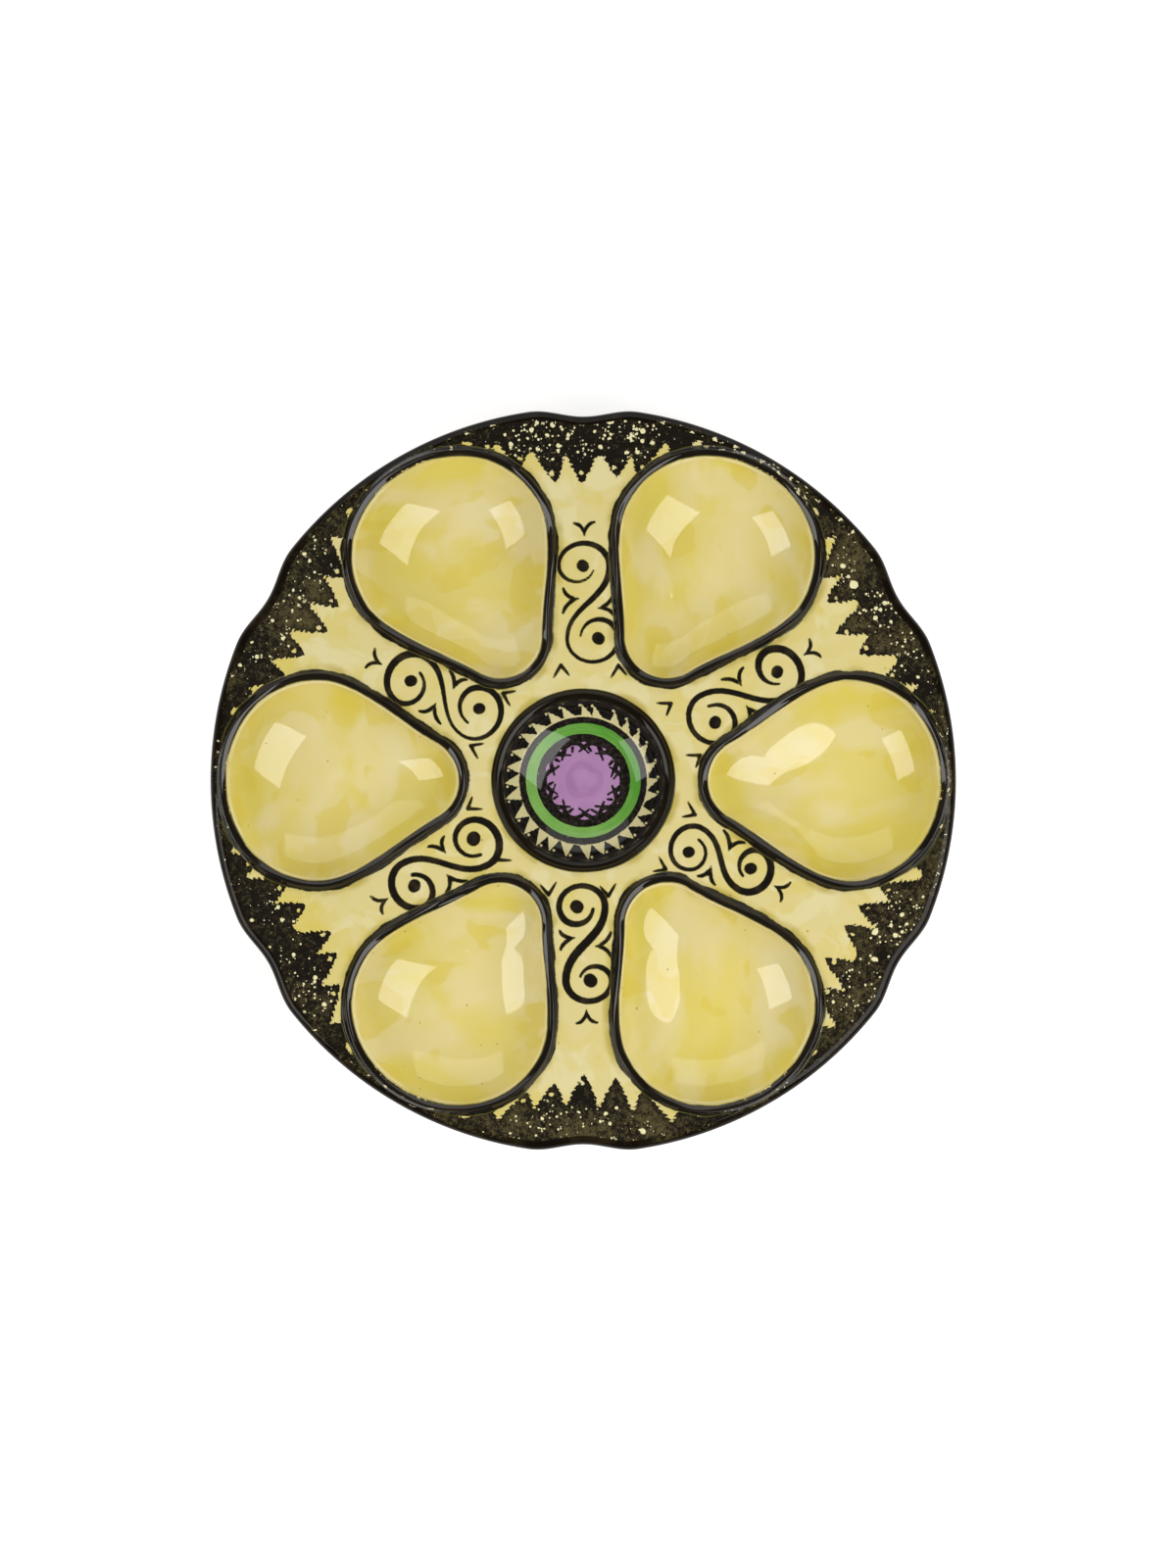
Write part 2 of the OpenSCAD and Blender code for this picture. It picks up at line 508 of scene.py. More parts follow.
def linked(name: str, data: bpy.types.ID) -> bpy.types.Object:
    """Makes an object of a mesh, a lamp or a camera and links it to the scene.

    Args:
        name: Name of the object.
        data: What it shows.

    Returns:
        The new object.
    """
    made = bpy.data.objects.new(name, data)
    bpy.context.scene.collection.objects.link(made)
    return made


class Socket:
    """One output of a shader tree; arithmetic on it adds Math nodes."""

    def __init__(self, tree: "ShaderTree", socket: bpy.types.NodeSocket) -> None:
        """Keeps the tree and the socket."""
        self.tree = tree
        self.socket = socket

    def math(self, operation: str, *others: "Socket | float") -> "Socket":
        """Adds a Math node that takes this value first."""
        inputs = dict(enumerate((self, *others)))
        return self.tree.node("ShaderNodeMath", {"operation": operation}, inputs)

    def __add__(self, other: "Socket | float") -> "Socket":
        """The sum."""
        return self.math("ADD", other)

    __radd__ = __add__

    def __mul__(self, other: "Socket | float") -> "Socket":
        """The product."""
        return self.math("MULTIPLY", other)

    __rmul__ = __mul__

    def __sub__(self, other: "Socket | float") -> "Socket":
        """This value less another."""
        return self.math("SUBTRACT", other)

    def __rsub__(self, other: float) -> "Socket":
        """A number less this value."""
        return self.tree.node("ShaderNodeMath", {"operation": "SUBTRACT"}, {0: other, 1: self})

    def smallest(self, other: "Socket | float") -> "Socket":
        """The lesser of two values."""
        return self.math("MINIMUM", other)

    def largest(self, other: "Socket | float") -> "Socket":
        """The greater of two values."""
        return self.math("MAXIMUM", other)

    def step(self, low: float, high: float) -> "Socket":
        """Smooth step from 0 at low to 1 at high; low may lie above high.

        Args:
            low: Value at which the step is 0.
            high: Value at which the step is 1.

        Returns:
            The step.
        """
        settings = {"interpolation_type": "SMOOTHSTEP", "clamp": True}
        inputs = {"Value": self, "From Min": low, "From Max": high, "To Min": 0.0, "To Max": 1.0}
        return self.tree.node("ShaderNodeMapRange", settings, inputs)


class ShaderTree:
    """Nodes of a material or of the world; a new material has a Principled surface at the end."""

    GLAZE_IOR = 1.5
    STREAK_GRAIN = (14.0, 14.0, 1000.0)
    FLAT_GRAIN = (1.0, 1.0, 1.0e6)

    def __init__(self, owner: bpy.types.Material | bpy.types.World | str) -> None:
        """Takes the nodes of a material or world, or starts a material of that name.

        Args:
            owner: The material or world, or the new material's name.
        """
        self.owner = bpy.data.materials.new(owner) if isinstance(owner, str) else owner
        self.owner.use_nodes = True
        self.nodes = self.owner.node_tree.nodes
        self.links = self.owner.node_tree.links
        self.surface = self.nodes.get("Principled BSDF")

    def node(
        self,
        kind: str,
        settings: dict[str, Any] | None = None,
        inputs: dict[str | int, Any] | None = None,
        output: str | int = 0,
    ) -> Socket:
        """Adds one node.

        Args:
            kind: The node's type.
            settings: Its own settings, set first.
            inputs: Values or links for its sockets, by name or number.
            output: Which output is returned.

        Returns:
            The chosen output.
        """
        made = self.nodes.new(kind)
        for label, value in (settings or {}).items():
            setattr(made, label, value)
        for key, value in (inputs or {}).items():
            self.put(made.inputs[key], value)
        return Socket(self, made.outputs[output])

    def put(self, socket: bpy.types.NodeSocket, value: Any) -> None:
        """Links or sets one input socket.

        Args:
            socket: The input.
            value: An output to link, a paint, or a value to set.
        """
        if isinstance(value, Socket):
            self.links.new(value.socket, socket)
        else:
            socket.default_value = value.rgba if isinstance(value, Paint) else value

    def vector(self, operation: str, *inputs: Any, output: str = "Value") -> Socket:
        """Adds a Vector Math node."""
        return self.node("ShaderNodeVectorMath", {"operation": operation}, dict(enumerate(inputs)), output)

    def value(self, name: str) -> Socket:
        """A named value of the mesh's points."""
        return self.node("ShaderNodeAttribute", {"attribute_name": name}, output="Fac")

    def here(self) -> Socket:
        """Object coordinates in metres."""
        return self.node("ShaderNodeTexCoord", output="Object")

    def height(self, at: Socket) -> Socket:
        """The third of three coordinates."""
        return self.node("ShaderNodeSeparateXYZ", None, {"Vector": at}, "Z")

    def place(self, start: Triple = (0.0, 0.0, 0.0), grain: float | Triple = 1.0) -> Socket:
        """Object coordinates in millimetres, divided by a grain and moved.

        Args:
            start: Shift in grains, which gives each pattern a place of its own.
            grain: Size of the pattern in millimetres, the same or one along each axis.

        Returns:
            The coordinates.
        """
        scale = (1.0 / (MM * np.broadcast_to(grain, 3))).tolist()
        inputs = {"Vector": self.here(), "Location": start, "Scale": scale}
        return self.node("ShaderNodeMapping", None, inputs)

    def along(self, bearing: Bearing) -> Socket:
        """Distance in millimetres from the plate's axis along a way in plan."""
        return self.vector("DOT_PRODUCT", self.place(), (*bearing.way, 0.0))

    def away(self) -> Socket:
        """Distance in millimetres from the plate's axis."""
        return self.vector("LENGTH", self.place(grain=self.FLAT_GRAIN))

    def noise(self, at: Socket, detail: float, rough: float, warp: float = 0.0) -> Socket:
        """Cloudy noise about 0.5, one blotch to a unit of the coordinates."""
        inputs = {"Vector": at, "Scale": 1.0, "Detail": detail, "Roughness": rough, "Distortion": warp}
        return self.node("ShaderNodeTexNoise", None, inputs)

    def streaks(self, across: Socket, close: float) -> Socket:
        """Brush streaks: noise that is long in plan and narrow across it.

        Args:
            across: Distance across the brush's way, in millimetres.
            close: How many streaks there are to a millimetre.

        Returns:
            The noise.
        """
        lift = self.node("ShaderNodeCombineXYZ", None, {"Z": across * close})
        brushed = self.vector("ADD", self.place(grain=self.STREAK_GRAIN), lift, output="Vector")
        return self.noise(brushed, detail=3.0, rough=0.6)

    def dots(self, start: Triple, grain: float) -> tuple[Socket, Socket]:
        """Scattered dots.

        Args:
            start: Shift in grains, which gives each scatter a place of its own.
            grain: Distance between dots, in millimetres.

        Returns:
            The distance to the nearest dot in grains, and a number from 0 to 1 that is the dot's own.
        """
        inputs = {"Vector": self.place(start, grain), "Scale": 1.0, "Randomness": 1.0}
        distance = self.node("ShaderNodeTexVoronoi", None, inputs, "Distance")
        colour = Socket(self, distance.socket.node.outputs["Color"])
        return distance, self.node("ShaderNodeSeparateColor", None, {"Color": colour}, "Red")

    def mix(self, share: Socket | float, below: Socket | Paint, above: Socket | Paint) -> Socket:
        """Colour between two colours: below at share 0, above at share 1."""
        settings = {"data_type": "RGBA", "clamp_factor": True}
        return self.node("ShaderNodeMix", settings, {0: share, 6: below, 7: above}, 2)

    def finish(self, colour: Socket, rough: Socket, ripple: Socket, ripple_mm: float) -> bpy.types.Material:
        """Feeds the surface and gives back the material.

        Args:
            colour: Base colour.
            rough: Roughness of the glaze.
            ripple: Height of a fine relief, about 0 to 1.
            ripple_mm: Size of that relief.

        Returns:
            The finished material.
        """
        bump = {"Height": ripple, "Distance": ripple_mm * MM, "Strength": 1.0}
        relief = self.node("ShaderNodeBump", None, bump)
        fed = {"Base Color": colour, "Roughness": rough, "IOR": self.GLAZE_IOR, "Normal": relief}
        for label, value in fed.items():
            self.put(self.surface.inputs[label], value)
        return self.owner


@dataclass(frozen=True)
class Cloud:
    """Cloudy noise: its start in grains, its grain in millimetres, and how fine and how bent it is."""

    start: Triple
    grain: float | Triple
    detail: float = 2.0
    rough: float = 0.5
    warp: float = 0.0

    def on(self, tree: ShaderTree) -> Socket:
        """Adds the noise, about 0.5, to a material."""
        return tree.noise(tree.place(self.start, self.grain), self.detail, self.rough, self.warp)

    def about(self, tree: ShaderTree, size: float) -> Socket:
        """Adds the noise, about 0 and of a size, to a material."""
        return (self.on(tree) - 0.5) * size


@dataclass(frozen=True)
class Glaze:
    """Clear glossy glaze over the painting: how rough it is, and how far it ripples."""

    roughness: float = 0.04
    roughness_play: float = 0.04
    specular: float = 0.5
    ripple_mm: float = 0.03
    pinhole_grain: float = 5.0
    pinhole_r: float = 0.07
    ripple: Cloud = Cloud((3.0, 1.0, 7.0), 9.0, 1.0)
    haze: Cloud = Cloud((9.0, 4.0, 2.0), 3.0, 3.0)
    thin: Cloud = Cloud((5.0, 2.0, 8.0), (22.0, 22.0, 14.0), 4.0, warp=0.6)

    def close(self, tree: ShaderTree, colour: Socket) -> bpy.types.Material:
        """Covers a painted colour with the glaze.

        Args:
            tree: The material's nodes.
            colour: The painted colour.

        Returns:
            The finished material.
        """
        rough = self.roughness + self.roughness_play * self.haze.on(tree).step(0.45, 0.8)
        tree.put(tree.surface.inputs["Specular IOR Level"], self.specular)
        return tree.finish(colour, rough, self.ripple.on(tree), self.ripple_mm)

    def close_both(self, tree: ShaderTree, colour: Socket) -> bpy.types.Material:
        """Covers a painted top, and the plain underside where the value `under` is 1."""
        below = tree.value("under").step(0.4, 0.6)
        return self.close(tree, tree.mix(below, colour, self.underside(tree)))

    def underside(self, tree: ShaderTree) -> Socket:
        """Colour of the plain glaze below: pale yellow, thinner in clouds, with a few pinholes."""
        thin = self.thin.on(tree).step(0.42, 0.72) * 0.8
        return self.pinholes(tree, tree.mix(thin, Paint.UNDER_GLAZE, Paint.UNDER_THIN))

    def pinholes(self, tree: ShaderTree, colour: Socket) -> Socket:
        """Adds a scatter of small brown pinholes to a colour.

        Args:
            tree: The material's nodes.
            colour: The colour that has the pinholes.

        Returns:
            The colour with pinholes.
        """
        distance, own = tree.dots((1.5, 6.5, 3.5), self.pinhole_grain)
        mark = (distance - own.step(0.72, 1.0) * self.pinhole_r).step(0.03, 0.0)
        return tree.mix(mark * 0.6, colour, Paint.PINHOLE)


@dataclass(frozen=True)
class Sponge:
    """Black dabbed on with a sponge: mottled olive-black, with cream specks that the sponge left open.

    Each layer of specks has a grain in millimetres, the largest speck's radius as a share of the grain,
    and the share of places that stay closed where the specks are thickest.
    """

    layers: tuple[Triple, ...] = ((0.9, 0.58, 0.40), (1.7, 0.58, 0.38), (3.4, 0.50, 0.62))
    top_fresh: Pair = (72.0, 104.0)
    left_fresh: Pair = (62.0, 100.0)
    fleck_reach: Pair = (70.0, 112.0)
    fine: Cloud = Cloud((2.5, 4.5, 0.5), 1.7, 5.0, 0.75)
    patch: Cloud = Cloud((3.5, 0.5, 6.5), 18.0)
    grit: Cloud = Cloud((6.5, 2.5, 3.5), 0.55)
    torn: Cloud = Cloud((8.5, 1.5, 2.5), 2.1, 3.0, 0.6)

    def mottle(self, tree: ShaderTree) -> Socket:
        """Colour of the paint: fine rough noise in slow patches, blackest at the top and lower left.

        Args:
            tree: The material's nodes.

        Returns:
            The colour.
        """
        fresh = tree.along(Bearing.TOP).step(*self.top_fresh) * 0.13
        fresh = fresh + tree.along(Bearing.LOWER_LEFT).step(*self.left_fresh) * 0.07
        tone = self.fine.on(tree) + self.patch.about(tree, 0.6) + self.grit.about(tree, 0.55) - fresh
        return tree.mix(tone.step(0.39, 0.71), Paint.SPONGE_DARK, Paint.SPONGE_OLIVE)

    def specks(self, tree: ShaderTree) -> Socket:
        """1 on a speck and 0 elsewhere, over every layer."""
        small, middling, large = (self.layer(tree, *layer) for layer in self.layers)
        return small.largest(middling).largest(large)

    def layer(self, tree: ShaderTree, grain: float, size: float, rare: float) -> Socket:
        """One layer of specks: warped dots, more of them open where the value `speckled` is high.

        Args:
            tree: The material's nodes.
            grain: Distance between dots, in millimetres.
            size: Radius of the largest speck as a share of the grain.
            rare: Share of places that stay closed.

        Returns:
            1 on a speck and 0 elsewhere.
        """
        warp = Cloud((grain, 2.0, 1.0), grain * 0.45).about(tree, 0.4)
        crowd = Cloud((2.0, grain, 5.0), 7.0).on(tree).step(0.22, 0.52)
        distance, own = tree.dots((grain, 7.0 * grain, 3.0), grain)
        open_share = own - (1.0 - tree.value("speckled") * crowd) * (1.0 - rare)
        radius = open_share.step(rare, 1.0) * size
        return (distance + warp + 0.06 - radius).step(0.05, -0.05)

    def flecks(self, tree: ShaderTree) -> Socket:
        """1 on a cream fleck by the rim: the peaks of a rough noise, most by the second well."""
        near = tree.along(Bearing.SECOND_WELL).step(*self.fleck_reach)
        return (self.torn.on(tree) + near * 0.075).step(0.645, 0.665)


@dataclass(frozen=True)
class BlackLine:
    """Black brush line along a raised lip: streaky within, bleeding olive at its wavering edges."""

    glaze: Glaze
    name: str = "black_line"
    inner: float = 0.05
    outer: float = 3.72
    waver: float = 2.2
    soft: float = 0.14
    chip: float = 0.7
    thin: float = 0.6
    streaks_per_mm: float = 1.3
    run_out: float = 3.0
    sponged_from: Pair = (1.9, 2.4)
    sponge: Sponge = Sponge()
    wander: Cloud = Cloud((2.0, 5.0, 1.0), 9.0)
    flutter: Cloud = Cloud((7.0, 3.0, 4.0), 1.1)
    flake: Cloud = Cloud((7.0, 3.0, 4.0), 1.3)
    load: Cloud = Cloud((4.0, 8.0, 6.0), 16.0)

    def shift(self, tree: ShaderTree) -> Socket:
        """How much wider the line is on each side, in millimetres: slow noise plus a fine flutter."""
        return self.wander.about(tree, self.waver) + self.flutter.about(tree, 0.4)

    def material(self) -> bpy.types.Material:
        """The line on a lip, whose value `across` runs from 0 inside to the lip's width outside.

        Near the rim the line flakes along its inner edge, and outside runs into the sponged border.

        Returns:
            The finished material.
        """
        tree = ShaderTree(self.name)
        across, rimward = tree.value("across"), tree.value("rimward")
        shift = self.shift(tree)
        flake = self.flake.on(tree).step(0.55, 0.66) * self.chip
        inside = across - self.inner + shift * 0.5 - flake * rimward
        outside = self.outer - across + shift + rimward * self.run_out
        outwards = rimward * (across + shift).step(*self.sponged_from)
        black = tree.mix(outwards, self.black(tree, across), self.sponge.mottle(tree))
        black = tree.mix(outwards * self.sponge.flecks(tree), black, Paint.SPECK)
        colour = self.bleed(tree, inside.smallest(outside), Paint.FIELD_CREAM, black)
        return self.glaze.close(tree, colour)

    def bleed(self, tree: ShaderTree, depth: Socket, ground: Socket | Paint, black: Socket | Paint) -> Socket:
        """The line over a ground: olive where it bleeds at its edge, then black, by depth within the line."""
        edge = tree.mix(depth.step(0.0, 3.0 * self.soft), Paint.LINE_BLEED, black)
        return tree.mix(depth.step(-self.soft, self.soft), ground, edge)

    def black(self, tree: ShaderTree, across: Socket) -> Socket:
        """Black paint with brush streaks along the lip, greyest where the brush ran dry.

        Args:
            tree: The material's nodes.
            across: Distance across the lip.

        Returns:
            The colour.
        """
        dry = 0.2 + self.thin * self.load.on(tree).step(0.35, 0.7)
        share = tree.streaks(across, self.streaks_per_mm).step(0.42, 0.76) * dry
        return tree.mix(share, Paint.LINE_BLACK, Paint.LINE_GREY)


@dataclass(frozen=True)
class FieldPaint:
    """The painted field: a washed cream ground, black brush ornament and a sponged border."""

    glaze: Glaze
    line: BlackLine
    lip_w: float
    hub_steady: Pair = (33.0, 37.0)
    pool_w: float = 3.2
    pool_edge: Pair = (0.9, -1.3)
    pool_r: Pair = (108.0, 96.0)
    solid_w: Pair = (4.5, 3.0)
    dark_edge: Pair = (-2.4, 0.0)
    sponge: Sponge = Sponge()
    wash: Cloud = Cloud((1.0, 2.0, 3.0), 26.0, 3.0, warp=0.8)
    brush: Cloud = Cloud((6.0, 1.0, 5.0), 9.0, warp=0.4)
    bare: Cloud = Cloud((4.0, 9.0, 1.0), 14.0, 3.0, warp=1.0)
    thick: Cloud = Cloud((8.0, 7.0, 2.0), 11.0)
    ragged: Cloud = Cloud((0.5, 9.0, 4.5), 1.0, 3.0, 0.7)
    patch: Cloud = Cloud((3.5, 0.5, 6.5), 9.0, 1.0)
    flutter: Cloud = Cloud((5.5, 2.5, 7.5), 1.0)
    load: Cloud = Cloud((0.5, 3.5, 9.5), 5.0, 3.0)

    def material(self) -> bpy.types.Material:
        """Layers the ground, the border, the ornament and the spill of the lips' line, steadiest at the hub.

        Returns:
            The finished material.
        """
        tree = ShaderTree("painted_field")
        colour = self.ornament(tree, self.border(tree, self.ground(tree)))
        steady = 0.2 + 0.8 * tree.away().step(*self.hub_steady)
        spill = self.line.shift(tree) * steady + (self.line.outer - self.lip_w) - tree.value("from_lip")
        colour = self.line.bleed(tree, spill, colour, Paint.LINE_BLACK)
        return self.glaze.close_both(tree, colour)

    def ground(self, tree: ShaderTree) -> Socket:
        """Cream glaze with broad mustard washes, pooled darker along the foot of the lips, short of the rim.

        Args:
            tree: The material's nodes.

        Returns:
            The colour.
        """
        wash, brush, thick = self.wash.on(tree), self.brush.on(tree), self.thick.on(tree)
        below_teeth = (tree.value("below_teeth") + (brush - 0.5) * 1.2).step(0.42, 0.66)
        share = wash.step(0.45, 0.62) * 0.42 + brush.step(0.52, 0.66) * 0.22
        share = share + below_teeth * wash.step(0.36, 0.5) * 0.34
        colour = tree.mix(share, Paint.FIELD_CREAM, Paint.FIELD_WASH)
        colour = tree.mix(self.bare.on(tree).step(0.52, 0.64) * 0.45, colour, Paint.EDGE_PALE)
        pooled = (tree.value("from_lip") - self.pool_w * thick).step(*self.pool_edge)
        pooled = pooled * thick.step(0.40, 0.66) * 0.75 * tree.away().step(*self.pool_r)
        colour = tree.mix(pooled, colour, Paint.GLAZE_POOL)
        return self.glaze.pinholes(tree, colour)

    def border(self, tree: ShaderTree, colour: Socket) -> Socket:
        """Sponged saw-tooth border: ragged, solid black along the rim, with specks thickest at the notch.

        Args:
            tree: The material's nodes.
            colour: The ground.

        Returns:
            The colour with the border over it.
        """
        ragged = self.ragged.on(tree) - 0.5
        depth = tree.value("teeth") + ragged * 2.0
        edge = tree.value("from_edge") + tree.value("speckled") * 1.3
        solid = (edge + self.patch.about(tree, 3.0) + ragged * 1.2).step(*self.solid_w)
        dark = solid.largest(depth.step(*self.dark_edge) * 0.75)
        paint = tree.mix(dark, self.sponge.mottle(tree), Paint.SPONGE_DARK)
        speck = self.sponge.specks(tree) * tree.value("teeth").step(0.4, -0.6) * (1.0 - solid)
        paint = tree.mix(speck, paint, Paint.SPECK)
        return tree.mix(depth.step(0.08, -0.08), colour, paint)

    def ornament(self, tree: ShaderTree, colour: Socket) -> Socket:
        """Black brush strokes: dense in the middle, olive where they bleed, thin and grey here and there.

        Args:
            tree: The material's nodes.
            colour: The ground and the border.

        Returns:
            The colour with the strokes over it.
        """
        depth = tree.value("stroke") + self.flutter.about(tree, 0.28)
        dry = self.load.on(tree).step(0.45, 0.75) * 0.75
        black = tree.mix(dry, Paint.LINE_BLACK, Paint.LINE_GREY)
        edge = tree.mix(depth.step(0.0, -0.3), Paint.LINE_BLEED, black)
        return tree.mix(depth.step(0.13, -0.13), colour, edge)


@dataclass(frozen=True)
class WellWash:
    """Inside of one oyster well: cream glaze with overlapping washes of mustard from a broad brush.

    The well's number moves and turns the strokes, so that no two wells are alike.
    """

    glaze: Glaze
    line: BlackLine
    index: int
    shift: float = 11.0
    floor_grain: float = 60.0
    rough: float = 0.45
    outer_r: Pair = (90.0, 112.0)

    def strokes(self, tree: ShaderTree, start: Triple, size: Pair, detail: float, warp: float) -> Socket:
        """Noise drawn out along the brush's way, by a stroke's width and length; the way turns by well."""
        across, along = size[::-1] if self.index % 2 else size
        return Cloud(start, (across, along, self.floor_grain), detail, self.rough, warp).on(tree)

    def material(self) -> bpy.types.Material:
        """Layers the broad washes, the pale strokes, the dabs and a painted highlight along the edge.

        Returns:
            The finished material.
        """
        tree = ShaderTree(f"washed_well_{self.index}")
        own = self.shift * self.index
        broad = self.strokes(tree, (own, 2.0, 1.0), (26.0, 34.0), 2.0, 0.6)
        wash = self.strokes(tree, (4.0, own, 3.0), (17.0, 28.0), 3.0, 0.6)
        pale = self.strokes(tree, (9.0, 3.0, own), (19.0, 28.0), 3.0, 0.5)
        brush = self.strokes(tree, (own, 8.0, 4.0), (12.5, 20.0), 2.0, 0.3)
        streak = self.strokes(tree, (2.0, 6.0, own), (1.3, 20.0), 3.0, 0.0)
        edge = tree.value("reach")
        share = broad.step(0.36, 0.64) * 0.66 + wash.step(0.41, 0.64) * 0.28 + (streak - 0.5) * 0.16
        share = share + tree.away().step(*self.outer_r) * (0.12 + 0.22 * wash.step(0.35, 0.55))
        share = share + edge.step(0.62, 0.9) * edge.step(1.0, 0.9) * broad.step(0.30, 0.60) * 0.35
        colour = tree.mix(share, Paint.WELL_CREAM, Paint.WELL_WASH)
        colour = tree.mix(pale.step(0.49, 0.66) * 0.58, colour, Paint.WELL_PALE)
        load = brush + edge.step(0.45, 0.88) * 0.06 + (wash - 0.5) * 0.12
        dab = load.step(0.585, 0.65) * 0.48 + load.step(0.59, 0.615) * load.step(0.67, 0.615) * 0.08
        colour = tree.mix(dab, colour, Paint.WELL_BRUSH)
        # painted highlight: a near-white line just inside the lip, where the glaze catches the lamps, broken
        # up by brush noise
        edge_highlight_share = brush.step(0.42, 0.58) * 0.5 + 0.1
        colour = tree.mix(edge.step(0.970, 0.990) * edge_highlight_share, colour, Paint.WELL_EDGE_HIGHLIGHT)
        colour = self.glaze.pinholes(tree, colour)
        spill = self.line.shift(tree) * 0.5 - self.line.inner - tree.value("down_wall")
        colour = self.line.bleed(tree, spill, colour, Paint.LINE_BLACK)
        return self.glaze.close_both(tree, colour)


@dataclass(frozen=True)
class SaucePaint:
    """Painting of the sauce well: flame teeth, black and green rings and a scalloped violet centre."""

    glaze: Glaze
    green_out: float = 18.6
    green_in: float = 15.2
    ring_soft: float = 0.12
    edge_soft: float = 0.1
    streaks_per_mm: float = 1.4
    speck_grain: float = 1.6
    speck_r: Pair = (11.0, 12.5)
    worn_r: Pair = (22.0, 20.0)
    pale_reach: Pair = (-22.0, 20.0)
    swirl_bend: float = 7.0
    swirl_in: Pair = (2.0, 4.4)
    swirl_out: Pair = (6.8, 5.0)
    cloud: Cloud = Cloud((1.0, 3.0, 5.0), 1.2, 5.0, 0.8)
    flutter: Cloud = Cloud((6.0, 2.0, 4.0), 2.0)
    brush: Cloud = Cloud((2.0, 9.0, 3.0), 7.0, 3.0)
    wash: Cloud = Cloud((8.0, 1.0, 2.0), 6.0, 3.0)
    jag: Cloud = Cloud((3.0, 5.0, 8.0), 0.9)
    nick: Cloud = Cloud((7.0, 4.0, 1.0), 0.55)

    def material(self) -> bpy.types.Material:
        """Layers the green ring, the violet, the teeth and a few specks over black.

        Returns:
            The finished material.
        """
        tree = ShaderTree("sauce_paint")
        middle = tree.value("from_middle")
        thin = self.cloud.on(tree).step(0.40, 0.70) * (0.35 + 0.55 * middle.step(*self.worn_r))
        colour = tree.mix(thin, Paint.CUP_BLACK, Paint.CUP_GREY)
        radius = middle + self.flutter.about(tree, 0.3)
        streak = tree.streaks(radius, self.streaks_per_mm) - 0.5
        soft = self.ring_soft
        ring = radius.step(self.green_in - soft, self.green_in + soft)
        ring = ring * radius.step(self.green_out + soft, self.green_out - soft)
        colour = tree.mix(ring, colour, self.green(tree, streak))
        jag = self.jag.on(tree) - 0.5
        inside = (tree.value("violet") + jag * 0.45).step(self.edge_soft, -self.edge_soft)
        colour = tree.mix(inside, colour, self.violet(tree, radius, streak))
        tooth = tree.value("teeth") + jag * 0.3 + self.nick.about(tree, 0.4)
        colour = tree.mix(tooth.step(self.edge_soft, -self.edge_soft), colour, Paint.CUP_TOOTH)
        distance, own = tree.dots((2.0, 5.0, 9.0), self.speck_grain)
        speck = (distance - own.step(0.6, 1.0) * 0.09).step(0.04, 0.0)
        colour = tree.mix(speck * radius.step(*self.speck_r) * 0.8, colour, Paint.SPECK)
        return self.glaze.close_both(tree, colour)

    def green(self, tree: ShaderTree, streak: Socket) -> Socket:
        """Green of the ring, streaked along it and paler towards the lower left."""
        pale = tree.along(Bearing.LOWER_LEFT).step(*self.pale_reach) * 0.75
        return tree.mix(pale + self.brush.about(tree, 0.8) + streak, Paint.GREEN, Paint.GREEN_PALE)

    def violet(self, tree: ShaderTree, radius: Socket, streak: Socket) -> Socket:
        """Violet of the centre, with a deeper swirl where the brush went round.

        Args:
            tree: The material's nodes.
            radius: Distance from the middle.
            streak: Brush streaks, about 0.

        Returns:
            The colour.
        """
        wash = self.wash.on(tree) - 0.5
        bent = radius + wash * self.swirl_bend
        swirl = bent.step(*self.swirl_in) * bent.step(*self.swirl_out)
        deep = swirl * 0.42 + wash * 0.8 + streak * 0.5 + 0.2
        return tree.mix(deep, Paint.VIOLET, Paint.VIOLET_DEEP)


@dataclass(frozen=True)
class RimPaint:
    """Rolled edge: black over the top and round the outside, plain glaze underneath."""

    glaze: Glaze
    sponge: Sponge = Sponge()
    cloud: Cloud = Cloud((1.0, 7.0, 2.0), 7.0, 4.0, 0.65)
    waver: Cloud = Cloud((2.0, 2.0, 6.0), 9.0, 3.0)

    def material(self) -> bpy.types.Material:
        """Black to a wavering line under the edge, rubbed a little on the crest, sponged by the wells.

        Returns:
            The finished material.
        """
        tree = ShaderTree("black_rim")
        cloud = self.cloud.on(tree)
        black = tree.mix(cloud.step(0.42, 0.75) * 0.45, Paint.LINE_BLACK, Paint.LINE_GREY)
        inward = tree.value("inward") + (cloud - 0.5) * 0.5
        sponged = inward.step(0.80, 0.94) * tree.value("by_well")
        black = tree.mix(sponged, black, self.sponge.mottle(tree))
        black = tree.mix(self.sponge.flecks(tree) * sponged.step(0.5, 0.8), black, Paint.SPECK)
        under = (tree.value("under") + self.waver.about(tree, 0.35)).step(0.70, 0.76)
        return self.glaze.close(tree, tree.mix(under, black, self.glaze.underside(tree)))


